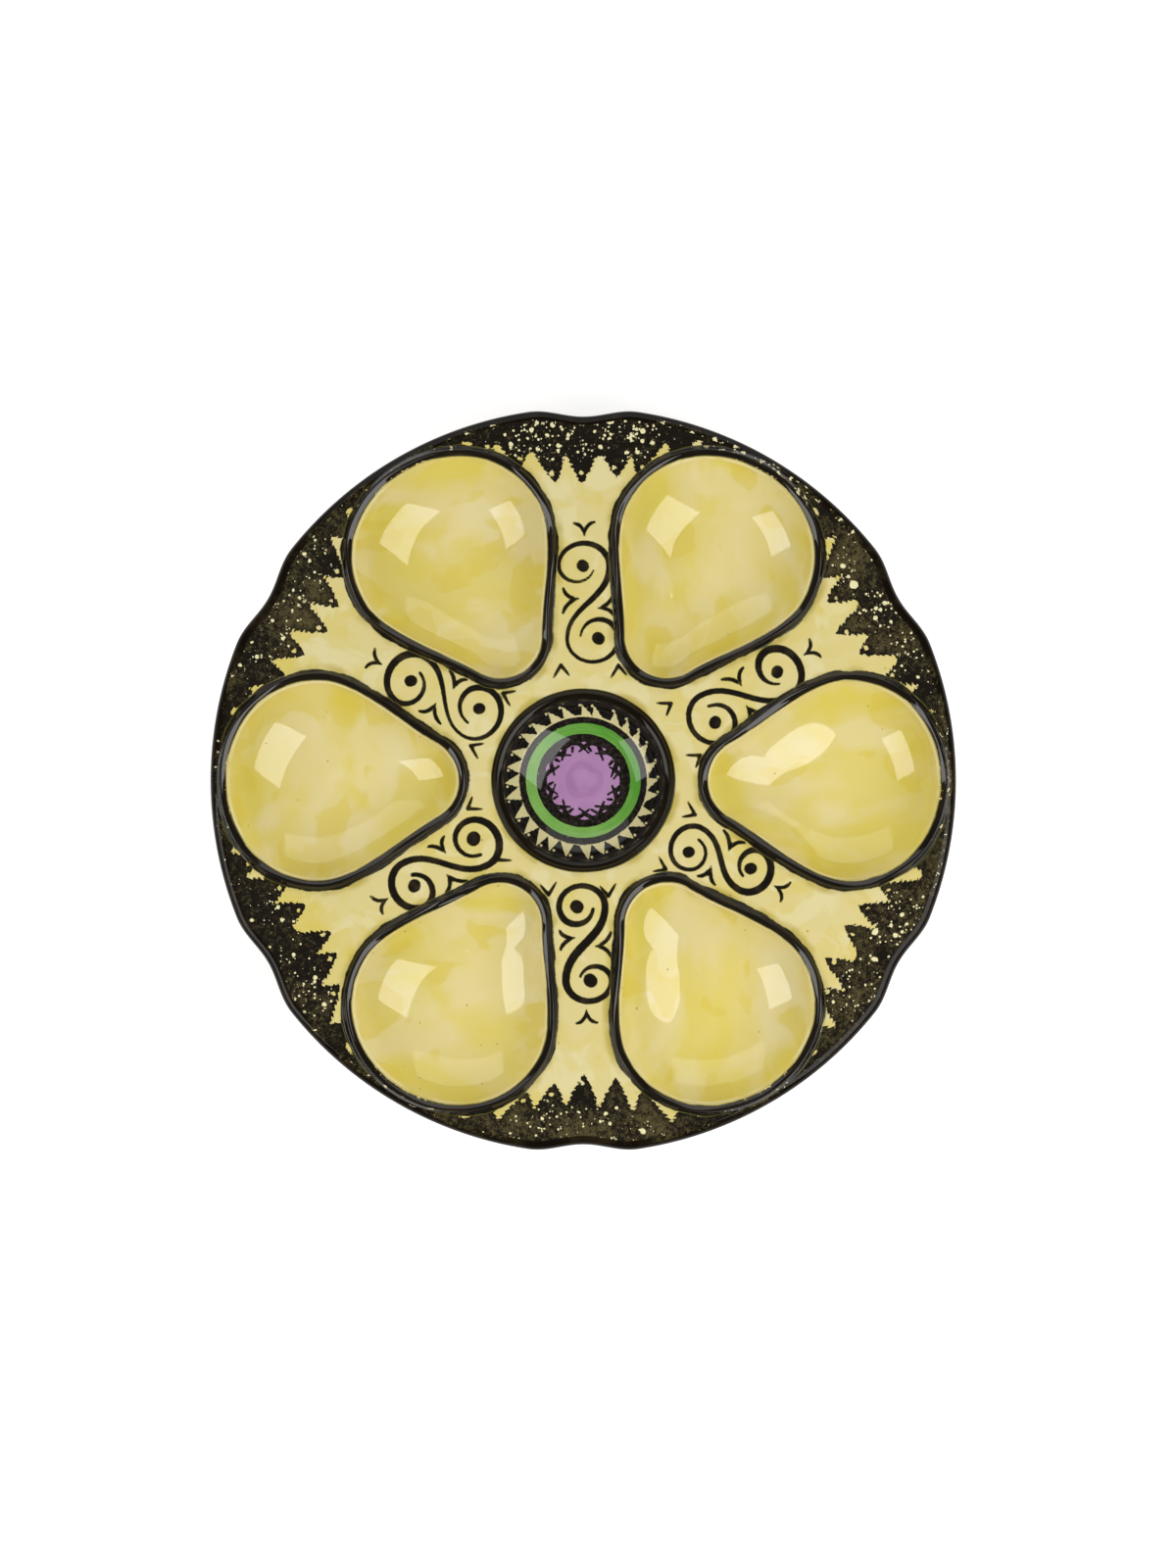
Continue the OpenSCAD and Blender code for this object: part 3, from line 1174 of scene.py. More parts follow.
@dataclass(frozen=True)
class FootFinish:
    """Foot ring: glazed sides, and a standing face wiped to the buff clay."""

    glaze: Glaze
    wiped: float = 1.0
    wiped_soft: float = 0.12
    wiped_waver: float = 1.2
    clay_rough: float = 0.6
    clay_grit_mm: float = 0.05
    waver: Cloud = Cloud((3.0, 8.0, 1.0), 6.0, 4.0)
    grit: Cloud = Cloud((1.0, 1.0, 5.0), 0.5, 3.0)

    def material(self) -> bpy.types.Material:
        """Glaze above a wavering line near the table, and bare, rougher clay below it.

        Returns:
            The finished material.
        """
        tree = ShaderTree("foot_clay")
        height = tree.height(tree.here()) * (1.0 / MM) - self.waver.about(tree, self.wiped_waver)
        bare = height.step(self.wiped + self.wiped_soft, self.wiped - self.wiped_soft)
        grit = self.grit.on(tree)
        clay = tree.mix(grit.step(0.35, 0.75) * 0.5, Paint.BARE_CLAY, Paint.PINHOLE)
        colour = tree.mix(bare, self.glaze.underside(tree), clay)
        rough = self.glaze.roughness + bare * self.clay_rough
        return tree.finish(colour, rough, grit * bare, self.clay_grit_mm)


@dataclass(frozen=True)
class BrushMark:
    """A brush stroke in plan: a path, and half its width along the path, in millimetres."""

    path: Array
    half_width: Array

    TAPER = 0.16
    SWELL = 0.32

    def distance(self, x: Array, y: Array) -> Array:
        """Distance outside the stroke, negative within: the least over its short straight pieces.

        Args:
            x: Places across.
            y: Places outwards.

        Returns:
            One distance for each place.
        """
        best = np.full(x.shape, np.inf)
        ways, growth = np.diff(self.path, axis=0), np.diff(self.half_width)
        for (ax, ay), (wx, wy), half, more in zip(self.path, ways, self.half_width, growth):
            t = np.clip(((x - ax) * wx + (y - ay) * wy) / (wx**2 + wy**2), 0.0, 1.0)
            best = np.minimum(best, np.hypot(x - ax - t * wx, y - ay - t * wy) - half - t * more)
        return best

    @classmethod
    def tapered(cls, path: Array, width: float, thin: float, rng: np.random.Generator) -> "BrushMark":
        """A stroke that thins towards both ends and swells a little on the way.

        Args:
            path: Points along the stroke.
            width: Its full width.
            thin: Share of the width that is left at the ends.
            rng: Source of the swelling.

        Returns:
            The stroke.
        """
        share = shares(len(path) - 1)
        ends = smooth(share, 0.0, cls.TAPER) * smooth(share, 1.0, 1.0 - cls.TAPER)
        swell = 1.0 + cls.SWELL * waves(rng, 3, 1)(share * 0.8)
        return cls(path, width / 2.0 * (thin + (1.0 - thin) * ends) * swell)


@dataclass(frozen=True)
class Wing:
    """Two strokes from one tip: straight, or with a common stem like a bird's foot.

    The ends are measured from the tip. The stem is how far the strokes run on together, from 0 to 1.
    """

    ends: tuple[Pair, Pair]
    width: float
    stem: float = 0.0
    steps: int = 13
    pull: float = 0.67

    def marks(self, tip: Array) -> list[BrushMark]:
        """The strokes: cubic curves that leave the tip towards the stem's end and thin out at their own.

        Args:
            tip: Where the two start.

        Returns:
            The strokes.
        """
        ends = tip + np.array(self.ends)
        stem_end = tip + (ends.mean(0) - tip) * 0.95
        share = shares(self.steps)
        press = 0.45 + 0.55 * smooth(share, 0.0, 0.35) if self.stem else 1.1 - 0.35 * share
        half = self.width / 2.0 * press * (1.0 - 0.3 * smooth(share, 0.75, 1.0))
        marks = []
        for end in ends:
            bend = (tip + end) / 2.0 * (1.0 - self.stem) + stem_end * self.stem
            path = bezier([tip, tip + (bend - tip) * self.pull, end + (bend - end) * self.pull, end], share)
            marks.append(BrushMark(path, half))
        return marks


@dataclass(frozen=True)
class RibScroll:
    """The ornament on one rib, in the rib's own frame: x to the right, y outwards from the plate's centre."""

    outer_eye: Pair
    inner_eye: Pair
    loop: float
    line: float = 1.85
    squash: float = 0.9
    dot: float = 1.95
    speckled: float = 0.78
    outer_turn: float = 335.0
    inner_from: float = 180.0
    inner_to: float = 525.0
    outer_steps: int = 44
    inner_steps: int = 46
    slant_steps: int = 23
    outer_open: float = 165.0
    inner_close: float = 395.0
    slant_pull: float = 0.46
    thin_end: float = 0.52
    dot_shifts: tuple[Pair, Pair] = ((-0.6, 0.2), (1.6, 0.3))
    foot_gap: float = 2.8
    foot: Wing = Wing(((-3.5, 4.0), (3.3, 4.4)), 1.3, 0.85)
    left_at: Pair = (-3.2, 1.0)
    left: Wing = Wing(((-4.9, 3.2), (-5.0, -4.6)), 1.4, 0.7)
    right_at: Pair = (3.2, -1.6)
    right: Wing = Wing(((4.6, 3.9), (4.9, -2.2)), 1.4, 0.7)
    hub_r: float = 37.0
    hub_at: Pair = (-8.4, 10.9)
    hub: Wing = Wing(((-2.4, -4.0), (2.6, -3.2)), 1.2)

    def curl(self, eye: Pair, turn: Array, size: Array) -> Array:
        """A squashed spiral round an eye, by angle in degrees and share of the loop's size."""
        spin = np.radians(turn)
        return eye + self.loop * size[:, None] * np.stack([np.cos(spin), self.squash * np.sin(spin)], 1)

    def scroll(self, rng: np.random.Generator) -> BrushMark:
        """The S: a spiral out from the outer eye, a cubic diagonal, and a spiral in round the inner eye.

        Args:
            rng: Source of the stroke's swelling.

        Returns:
            The stroke.
        """
        turn = np.linspace(self.outer_turn, 0.0, self.outer_steps)
        size = 0.42 + 0.58 * smooth(self.outer_turn - turn, 0.0, self.outer_open)
        first = self.curl(self.outer_eye, turn, size)
        turn = np.linspace(self.inner_from, self.inner_to, self.inner_steps)
        size = 1.0 - 0.5 * smooth(turn, self.inner_close, self.inner_to)
        second = self.curl(self.inner_eye, turn, size)
        reach = np.array([0.0, self.slant_pull * (self.outer_eye[1] - self.inner_eye[1])])
        share = shares(self.slant_steps)[1:-1]
        slant = bezier([first[-1], first[-1] - reach, second[0] + reach, second[0]], share)
        return BrushMark.tapered(np.concatenate([first, slant, second]), self.line, self.thin_end, rng)

    def marks(self, rng: np.random.Generator) -> list[BrushMark]:
        """Every stroke on the rib: the scroll, its eyes, a bird's foot above, two at the waist, two below.

        Args:
            rng: Source of the strokes' sway and the dots' sizes.

        Returns:
            The strokes.
        """
        outer, inner = np.array(self.outer_eye), np.array(self.inner_eye)
        waist = (outer + inner) / 2.0
        sway = rng.uniform(-0.5, 0.5, (7, 2))
        marks = [self.scroll(rng)]
        for eye, shift in zip((outer, inner), self.dot_shifts):
            at = eye + shift + 0.4 * sway[0]
            size = self.dot * rng.uniform(0.92, 1.08)
            marks.append(BrushMark(np.array([at, at + [0.3, -0.3]]), np.full(2, size)))
        top = np.array([outer[0] * 0.6, outer[1] + self.loop * self.squash + self.foot_gap])
        marks += self.foot.marks(top + sway[1])
        marks += self.left.marks(waist + self.left_at + sway[2] * 0.6)
        marks += self.right.marks(waist + self.right_at + sway[3] * 0.6)
        for across, stray in zip(self.hub_at, sway[4:]):
            marks += self.hub.marks(np.array([across + 0.25 * inner[0], self.hub_r]) + stray)
        return marks


@dataclass(frozen=True)
class SpongeBorder:
    """Saw-tooth border round the rim: how far teeth and gaps reach, by angle from the rib's middle."""

    teeth: int = 11
    tall: float = 9.3
    tall_fall: float = 0.10
    tip_stray: float = 1.3
    gap_r: float = 104.4
    gap_rise: float = 0.043
    gap_limit: float = 115.3
    gap_ripple: float = 0.5
    gap_waves: float = 37.0
    stray: float = 0.7
    foot_in: float = 1.6
    widen: float = 0.07
    bulge: float = 0.76
    lean: float = 0.12
    saw_grain: float = 1.6
    saw_depth: float = 1.15
    steep: float = 0.82
    drop_share: float = 0.75
    drop_up: Pair = (2.8, 3.6)
    drop_r: Pair = (0.55, 0.8)

    def tip(self, degrees: Array | float) -> Array:
        """Radius that a tooth reaches in to: the gaps' radius less a height that falls towards the wells."""
        return self.gap(degrees) - self.tall + self.tall_fall * np.abs(degrees)

    def gap(self, degrees: Array | float) -> Array:
        """Radius that the gaps between teeth reach out to: a parabola of the angle, up to a limit."""
        return np.minimum(self.gap_r + self.gap_rise * np.square(degrees), self.gap_limit)

    def distance(self, r: Array, degrees: Array, pitch: float, rng: np.random.Generator) -> Array:
        """Distance outside the border on one rib, negative within.

        Each tooth is a wedge that widens from its tip to the gaps, with a saw edge. Most have an open
        drop near the tip.

        Args:
            r: Radius of each place.
            degrees: Angle of each place from the rib's middle.
            pitch: Angle of one rib, from well to well.
            rng: Source of the teeth's irregular sizes.

        Returns:
            One distance for each place.
        """
        step = pitch / self.teeth
        best = self.gap(degrees) + self.gap_ripple * np.sin(np.radians(degrees * self.gap_waves)) - r
        for k in range(-1, self.teeth + 1):
            middle = (k - (self.teeth - 1) / 2.0) * step + rng.uniform(-self.stray, self.stray)
            tip = float(self.tip(middle)) + rng.uniform(-self.tip_stray, self.tip_stray)
            base = float(self.gap(middle)) + self.foot_in
            share = np.clip((r - tip) / (base - tip), 0.0, 1.2)
            half = math.radians(step) * base * (0.5 + rng.uniform(0.0, self.widen)) * share**self.bulge
            saw = np.mod((r - tip) / self.saw_grain + rng.uniform(), 1.0) - 0.5
            off = np.radians(degrees - middle) * r
            across = np.abs(off + self.lean * rng.uniform(-1.0, 1.0) * (r - base))
            side = (across - half - self.saw_depth * saw * smooth(share, 0.0, 0.3)) * self.steep
            tooth = np.maximum(side, tip - r)
            if rng.uniform() < self.drop_share:
                drop = np.hypot(off, r - tip - rng.uniform(*self.drop_up))
                tooth = np.maximum(tooth, rng.uniform(*self.drop_r) - drop)
            best = np.minimum(best, tooth)
        return best


@dataclass(frozen=True)
class Piece:
    """One piece of the plate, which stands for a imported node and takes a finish."""

    form: PlateForm

    def solid(self) -> Solid:
        """The piece's closed shape, which each kind of piece works out."""
        raise NotImplementedError

    def dress(self, node: str, slot: Slot, material: bpy.types.Material) -> bpy.types.Object:
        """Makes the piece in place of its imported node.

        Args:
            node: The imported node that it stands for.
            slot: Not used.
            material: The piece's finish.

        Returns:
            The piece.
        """
        piece = self.solid().build(f"{node}_glazed")
        piece.data.materials.append(material)
        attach(piece, "root")
        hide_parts(node)
        LOG.info("%s: %d points, %d faces", piece.name, len(piece.data.vertices), len(piece.data.polygons))
        return piece


@dataclass(frozen=True)
class PlateField(Piece):
    """The field between the wells, as six ribs joined round the hub."""

    outline: WellOutline
    scrolls: Sequence[RibScroll]
    border: SpongeBorder
    columns: int = 80
    hub_rows: int = 16
    coarse: int = 4
    squeeze_from: float = 97.0
    seam_room: float = 0.05
    wash_reach: Pair = (9.0, 1.0)
    speckled_off: Pair = (20.0, 7.0)
    speckled_r: Pair = (97.0, 107.0)
    speckled_least: float = 0.34
    edge_in: float = 2.4
    edge_off: Pair = (11.0, 18.0)
    seed: int = 20

    def rows(self) -> tuple[Array, Array]:
        """Radius of each row, and the angle of the lip's outer edge there.

        Rows on the hub are even; further out each row passes through a point of the lip's outline. A few
        more before the seam make the count a multiple of the coarse step.

        Returns:
            The radii, and the angles from the well's centre line in degrees.
        """
        f = self.form
        radius, angle = self.outline.lip_polar()
        hub = np.linspace(f.sauce_lip_r, radius[0], self.hub_rows + 1)
        inside = radius < f.seam_r - self.seam_room
        inside[0] = False
        outer = np.stack([radius[inside], angle[inside]], 1)
        seam = np.array([f.seam_r, np.interp(f.seam_r, radius, angle)])
        extra = -(len(outer) + 1) % self.coarse
        share = shares(extra + 1)[1:, None]
        outer = np.concatenate([outer, outer[-1] + share * (seam - outer[-1])])
        angles = np.concatenate([np.zeros(self.hub_rows + 1), outer[:, 1]])
        return np.concatenate([hub, outer[:, 0]]), angles

    def grid(self) -> tuple[Array, Array]:
        """Radius and angle of each point of one rib, by row and column.

        The columns spread evenly between the two lips, and the last rows are drawn in at the notch.

        Returns:
            The radii, and the angles in degrees from the first well.
        """
        f = self.form
        radius, edge = self.rows()
        share = shares(self.columns)
        degrees = edge[:, None] + share * (f.pitch - 2.0 * edge[:, None])
        pull = smooth(radius, self.squeeze_from, f.seam_r)[:, None]
        return radius[:, None] - f.notch(degrees) * pull, degrees

    def solid(self) -> Solid:
        """The closed field: a fine painted top, a coarser underside, and walls round the openings.

        Returns:
            The closed solid.
        """
        f = self.form
        r, degrees = self.grid()
        every = slice(None, None, self.coarse)
        angles = [np.radians(degrees + k * f.pitch) for k in range(f.well_count)]
        top = np.array([round_axis(r, angle, f.field_z(r)) for angle in angles])
        low = np.array([round_axis(r, angle, f.under_z(r))[every, every] for angle in angles])
        painted = [self.painting(k, r, degrees) for k in range(f.well_count)]
        plain = np.full(low[..., 0].size, UNPAINTED)
        values = {name: np.append([rib[name] for rib in painted], plain) for name in painted[0]}
        values["under"] = np.append(np.zeros(top[..., 0].size), np.ones(plain.size))
        points = np.concatenate([top.reshape(-1, 3), low.reshape(-1, 3)])
        return Solid(points, self.faces(top.shape[:3], low.shape[:3]), values).welded()

    def faces(self, top_shape: tuple[int, ...], low_shape: tuple[int, ...]) -> list[Array]:
        """Faces of the top, the underside and the walls.

        A wall's face takes one coarse edge below and the fine edges above it.

        Args:
            top_shape: Ribs, rows and columns of the top's points.
            low_shape: The same of the underside's points.

        Returns:
            Faces by number of corners.
        """
        top = np.arange(np.prod(top_shape)).reshape(top_shape)
        low = np.prod(top_shape) + np.arange(np.prod(low_shape)).reshape(low_shape)
        faces = [self.quads(top), self.quads(low)]
        first_wall = self.hub_rows // self.coarse
        sides = [
            (top[:, :, 0], low[:, :, 0], first_wall),
            (top[:, :, -1], low[:, :, -1], first_wall),
            (top[:, 0, :], low[:, 0, :], 0),
            (top[:, -1, :], low[:, -1, :], 0),
        ]
        for fine, rough, start in sides:
            blocks = np.arange(start, rough.shape[1] - 1)
            above = fine[:, blocks[:, None] * self.coarse + np.arange(self.coarse + 1)]
            below = np.stack([rough[:, blocks + 1], rough[:, blocks]], -1)
            faces.append(np.concatenate([above, below], -1).reshape(-1, self.coarse + 3))
        return faces

    @staticmethod
    def quads(index: Array) -> Array:
        """Four-cornered faces over a stack of grids."""
        corners = [index[:, :-1, :-1], index[:, 1:, :-1], index[:, 1:, 1:], index[:, :-1, 1:]]
        return np.stack(corners, -1).reshape(-1, 4)

    def painting(self, rib: int, r: Array, degrees: Array) -> dict[str, Array]:
        """Values that the painting follows, at each point of one rib.

        Args:
            rib: Number of the rib, from 0.
            r: Radius of each point.
            degrees: Angle of each point from the rib's first well.

        Returns:
            Distances to the strokes, the border and the lips, and how speckled the border is.
        """
        f = self.form
        scroll = self.scrolls[rib]
        off = degrees - f.pitch / 2.0
        x, y = -r * np.sin(np.radians(off)), r * np.cos(np.radians(off))
        rng = np.random.default_rng(self.seed + rib)
        stroke = np.full(r.shape, UNPAINTED)
        for mark in scroll.marks(rng):
            stroke = np.minimum(stroke, mark.distance(x, y))
        teeth = self.border.distance(r, off, f.pitch, rng)
        notchward = smooth(np.abs(off), *self.speckled_off)
        speckled = self.speckled_least + (1.0 - self.speckled_least) * notchward
        well_side = smooth(np.abs(off), *self.edge_off)
        return {
            "stroke": stroke,
            "teeth": teeth,
            "speckled": scroll.speckled * speckled * smooth(r, *self.speckled_r),
            "below_teeth": smooth(teeth, *self.wash_reach),
            "from_lip": self.from_lip(r, degrees),
            "from_edge": f.plate_r - f.notch(degrees) - r + self.edge_in * well_side,
        }

    def from_lip(self, r: Array, degrees: Array) -> Array:
        """Distance of each point of a rib from the nearest lip's outer edge.

        Args:
            r: Radius of each point.
            degrees: Angle of each point from the rib's first well.

        Returns:
            One distance for each point.
        """
        f = self.form
        lip = self.outline.grown(f.lip_w)
        best = r - f.sauce_lip_r
        for turn in (0.0, f.pitch):
            x, y = r * np.cos(np.radians(degrees - turn)), r * np.sin(np.radians(degrees - turn))
            for px, py in lip.tolist():
                best = np.minimum(best, np.hypot(x - px, y - py))
        return best


@dataclass(frozen=True)
class ScallopedRim(Piece):
    """The rolled edge: half an ellipse carried round the notched outline, cut back where a lip bites in."""

    outline: WellOutline
    ribs: PlateField
    steps: int = 20
    seam_room: float = 0.02
    well_side: Pair = (21.0, 16.0)

    def solid(self) -> Solid:
        """The closed ring, whose inner edge shares the points of the field and of the lips' outer ends.

        Returns:
            The closed solid.
        """
        f = self.form
        lip_r, lip_angle = self.outline.lip_polar()
        bite = lip_r > f.seam_r + self.seam_room
        bite_r, bite_angle = lip_r[bite][::-1], lip_angle[bite][::-1]
        field_r, field_angle = (grid[-1] for grid in self.ribs.grid())
        sector = np.concatenate([bite_angle, field_angle, f.pitch - bite_angle[:0:-1]])
        inner = np.tile(np.concatenate([bite_r, field_r, bite_r[:0:-1]]), f.well_count)
        degrees = np.concatenate([sector + k * f.pitch for k in range(f.well_count)])
        seam = f.seam_r - f.notch(degrees)
        start = np.arccos(np.clip((inner - seam) / f.rim_w, 0.0, 1.0))
        turn = start * np.linspace(1.0, -1.0, self.steps + 1)[:, None]
        inward = np.sin(turn)
        z = f.field_z(seam) - f.wall / 2.0 * (1.0 - inward)
        rings = round_axis(seam + f.rim_w * np.cos(turn), np.radians(degrees), z)
        by_well = smooth(np.abs(f.from_well(degrees)), *self.well_side)
        return Solid.tube(rings, under=0.5 - inward / 2.0, inward=inward, by_well=by_well)


@dataclass(frozen=True)
class OysterWell(Piece):
    """One pear-shaped bowl: a broad floor that rises to an upright side, of even thickness."""

    outline: WellOutline
    index: int
    inside_rings: int = 44
    under_rings: int = 18
    fillet_rings: int = 8
    fillet_out: Pair = (2.0, 9.0)
    sag: float = 0.05
    sag_count: int = 5
    sag_length: Pair = (18.0, 34.0)
    sag_to: float = 0.7
    seed: int = 70

    def bowl(self, edge: Array, u: Array, drop: float, floor: float) -> Array:
        """Rings of a bowl, each the edge drawn in towards the deepest place by the superellipse section.

        Args:
            edge: The edge in plan.
            u: Places along the section, from 0 at the deepest place to 1 at the edge.
            drop: Depth of the edge below the field.
            floor: Height of the deepest place.

        Returns:
            Points by ring, place on the ring and axis.
        """
        f = self.form
        centre = np.array([f.well_mid, 0.0])
        plan = centre + f.bowl_reach(u)[:, None, None] * (edge - centre)
        edge_z = f.field_z(from_axis(edge)) - drop
        return lifted(plan, floor + f.bowl_rise(u)[:, None] * (edge_z - floor))

    def underside(self, lip: Array) -> Array:
        """Rings of the underside: the foot of the wall, a fillet from the field, then the bowl.

        The fillet runs out where the well comes near the rim.

        Args:
            lip: Outer edge of the lip in plan.

        Returns:
            Points by ring, place on the ring and axis.
        """
        f = self.form
        near, far = self.fillet_out
        room = f.fillet * smooth(from_axis(lip), f.seam_r - near, f.seam_r - far)
        skirt = self.outline.grown(f.lip_w + room)
        start, corner = (lifted(edge, f.under_z(from_axis(edge))) for edge in (skirt, lip))
        down = np.linspace(f.fillet_to, 0.0, self.under_rings + 1)[:-1]
        bowl = self.bowl(lip, down, f.wall, f.under_low)
        return np.concatenate([corner[None], fillet(start, corner, bowl[0], self.fillet_rings), bowl])

    def unevenness(self, points: Array, reach: Array) -> Array:
        """Slight hand-made swells of the floor, a few sines in plan, that fade out at the edge.

        Args:
            points: Points of the floor.
            reach: Share of the way to the edge at each point.

        Returns:
            One height for each point.
        """
        rng = np.random.default_rng(self.seed + self.index)
        swell = np.zeros(points.shape[:2])
        for _ in range(self.sag_count):
            way = rng.uniform(0.0, FULL_TURN)
            length = rng.uniform(*self.sag_length)
            along = points[..., 0] * math.cos(way) + points[..., 1] * math.sin(way)
            swell += np.sin(FULL_TURN * along / length + rng.uniform(0.0, FULL_TURN))
        return self.sag * swell / 2.0 * smooth(reach, 1.0, self.sag_to)

    def solid(self) -> Solid:
        """The closed bowl, with a flat seat for the lip and an upright wall against the field.

        Returns:
            The closed solid.
        """
        f = self.form
        edge, lip = self.outline.loop(), self.outline.grown(f.lip_w)
        u = shares(self.inside_rings)[1:]
        inside = self.bowl(edge, u, f.lip_seat, f.well_floor)
        reach = f.bowl_reach(u)[:, None]
        inside[..., 2] += self.unevenness(inside, reach)
        seat = lifted(lip, f.field_z(from_axis(lip)) - f.lip_seat)
        rings = np.concatenate([inside, seat[None], self.underside(lip)])
        first, last = inside[0].mean(0), np.array([f.well_mid, 0.0, f.under_low])
        outside = np.ones((len(rings) - len(u), 1))
        steps = np.linalg.norm(np.diff(inside, axis=0), axis=-1)
        down = np.zeros(rings.shape[:2])
        down[: len(steps)] = np.cumsum(steps[::-1], 0)[::-1]
        below = np.concatenate([np.zeros_like(reach), outside])
        reach = np.concatenate([reach, outside])
        made = Solid.capped(first, rings, last, under=below, reach=reach, down_wall=down)
        return made.turned(f.pitch * (self.index - 1))


@dataclass(frozen=True)
class LipSection:
    """Section of a raised lip: a bead with a steep inner side that runs out into the field outside."""

    form: PlateForm
    crest: float = 1.95
    brink: Pair = (0.6, 1.02)
    brink_pull: Pair = (0.30, 0.42)
    foot_pull: float = 0.9
    crest_pull: float = 0.5
    inner_drop: float = 0.45
    inner_steps: int = 7
    slope_steps: int = 7
    outer_steps: int = 10

    def profile(self) -> tuple[Array, Array]:
        """Distance from the inner edge and height over the field, along the bead.

        The inner side is a cubic curve that rises upright and bends over at the brink, the top a second one
        that slopes up to the crest, and the outer side half a cosine wave.

        Returns:
            The distances and the heights.
        """
        f = self.form
        foot = np.array([0.0, -self.inner_drop])
        brink, crest = np.array(self.brink), np.array([self.crest, f.lip_h])
        pull = (crest - brink) * self.brink_pull
        rise = shares(self.inner_steps)
        side = bezier([foot, foot + [0.0, self.foot_pull], brink - pull, brink], rise)
        slope = shares(self.slope_steps)[1:]
        top = bezier([brink, brink + pull, crest - [self.crest_pull, 0.0], crest], slope)
        wave = shares(self.outer_steps)[1:]
        outer = self.crest + (f.lip_w - self.crest) * wave
        outer_h = f.lip_h * (0.5 + 0.5 * np.cos(math.pi * wave))
        across = np.concatenate([side[:, 0], top[:, 0], outer])
        return across, np.concatenate([side[:, 1], top[:, 1], outer_h])


@dataclass(frozen=True)
class WellLip(Piece):
    """The raised lip round one well, whose crest sways, swells and rolls as a hand-pressed one does."""

    outline: WellOutline
    section: LipSection
    index: int
    sway: float = 0.22
    swell: float = 0.16
    roll: float = 0.20
    rimward: Pair = (4.0, 1.5)
    seed: int = 130

    def solid(self) -> Solid:
        """The closed bead, carried along the outline.

        The sway moves the crest in plan and the swell scales its height. The roll lifts the inner slope.

        Returns:
            The closed solid.
        """
        f = self.form
        rng = np.random.default_rng(self.seed + self.index)
        across, height = (line[:, None] for line in self.section.profile())
        count = len(self.outline.loop())
        way = shares(count)[:-1]
        shift = self.sway * waves(rng, 5, 3)(way)
        grow = 1.0 + self.swell * waves(rng, 5, 2)(way)
        tilt = self.roll * waves(rng, 7, 4)(way)
        bead = across + np.sin(math.pi * across / f.lip_w) * shift
        plan = self.outline.grown(np.vstack([np.zeros(count), bead, np.full(count, f.lip_w)]))
        r = from_axis(plan)
        lean = np.sin(math.pi * np.clip(across / self.section.crest, 0.0, 1.0))
        bead_z = f.top_z(r[1:-1]) + height * np.where(height > 0.0, grow, 1.0) + lean * tilt
        seat_z = f.field_z(r) - f.lip_seat
        rings = lifted(plan, np.vstack([seat_z[0], bead_z, seat_z[-1]]))
        far, near = self.rimward
        rimward = smooth(r, f.seam_r - far, f.seam_r - near)
        place = np.vstack([0.0, across, f.lip_w])
        made = Solid.tube(rings, across=place, rimward=rimward)
        return made.turned(f.pitch * (self.index - 1))


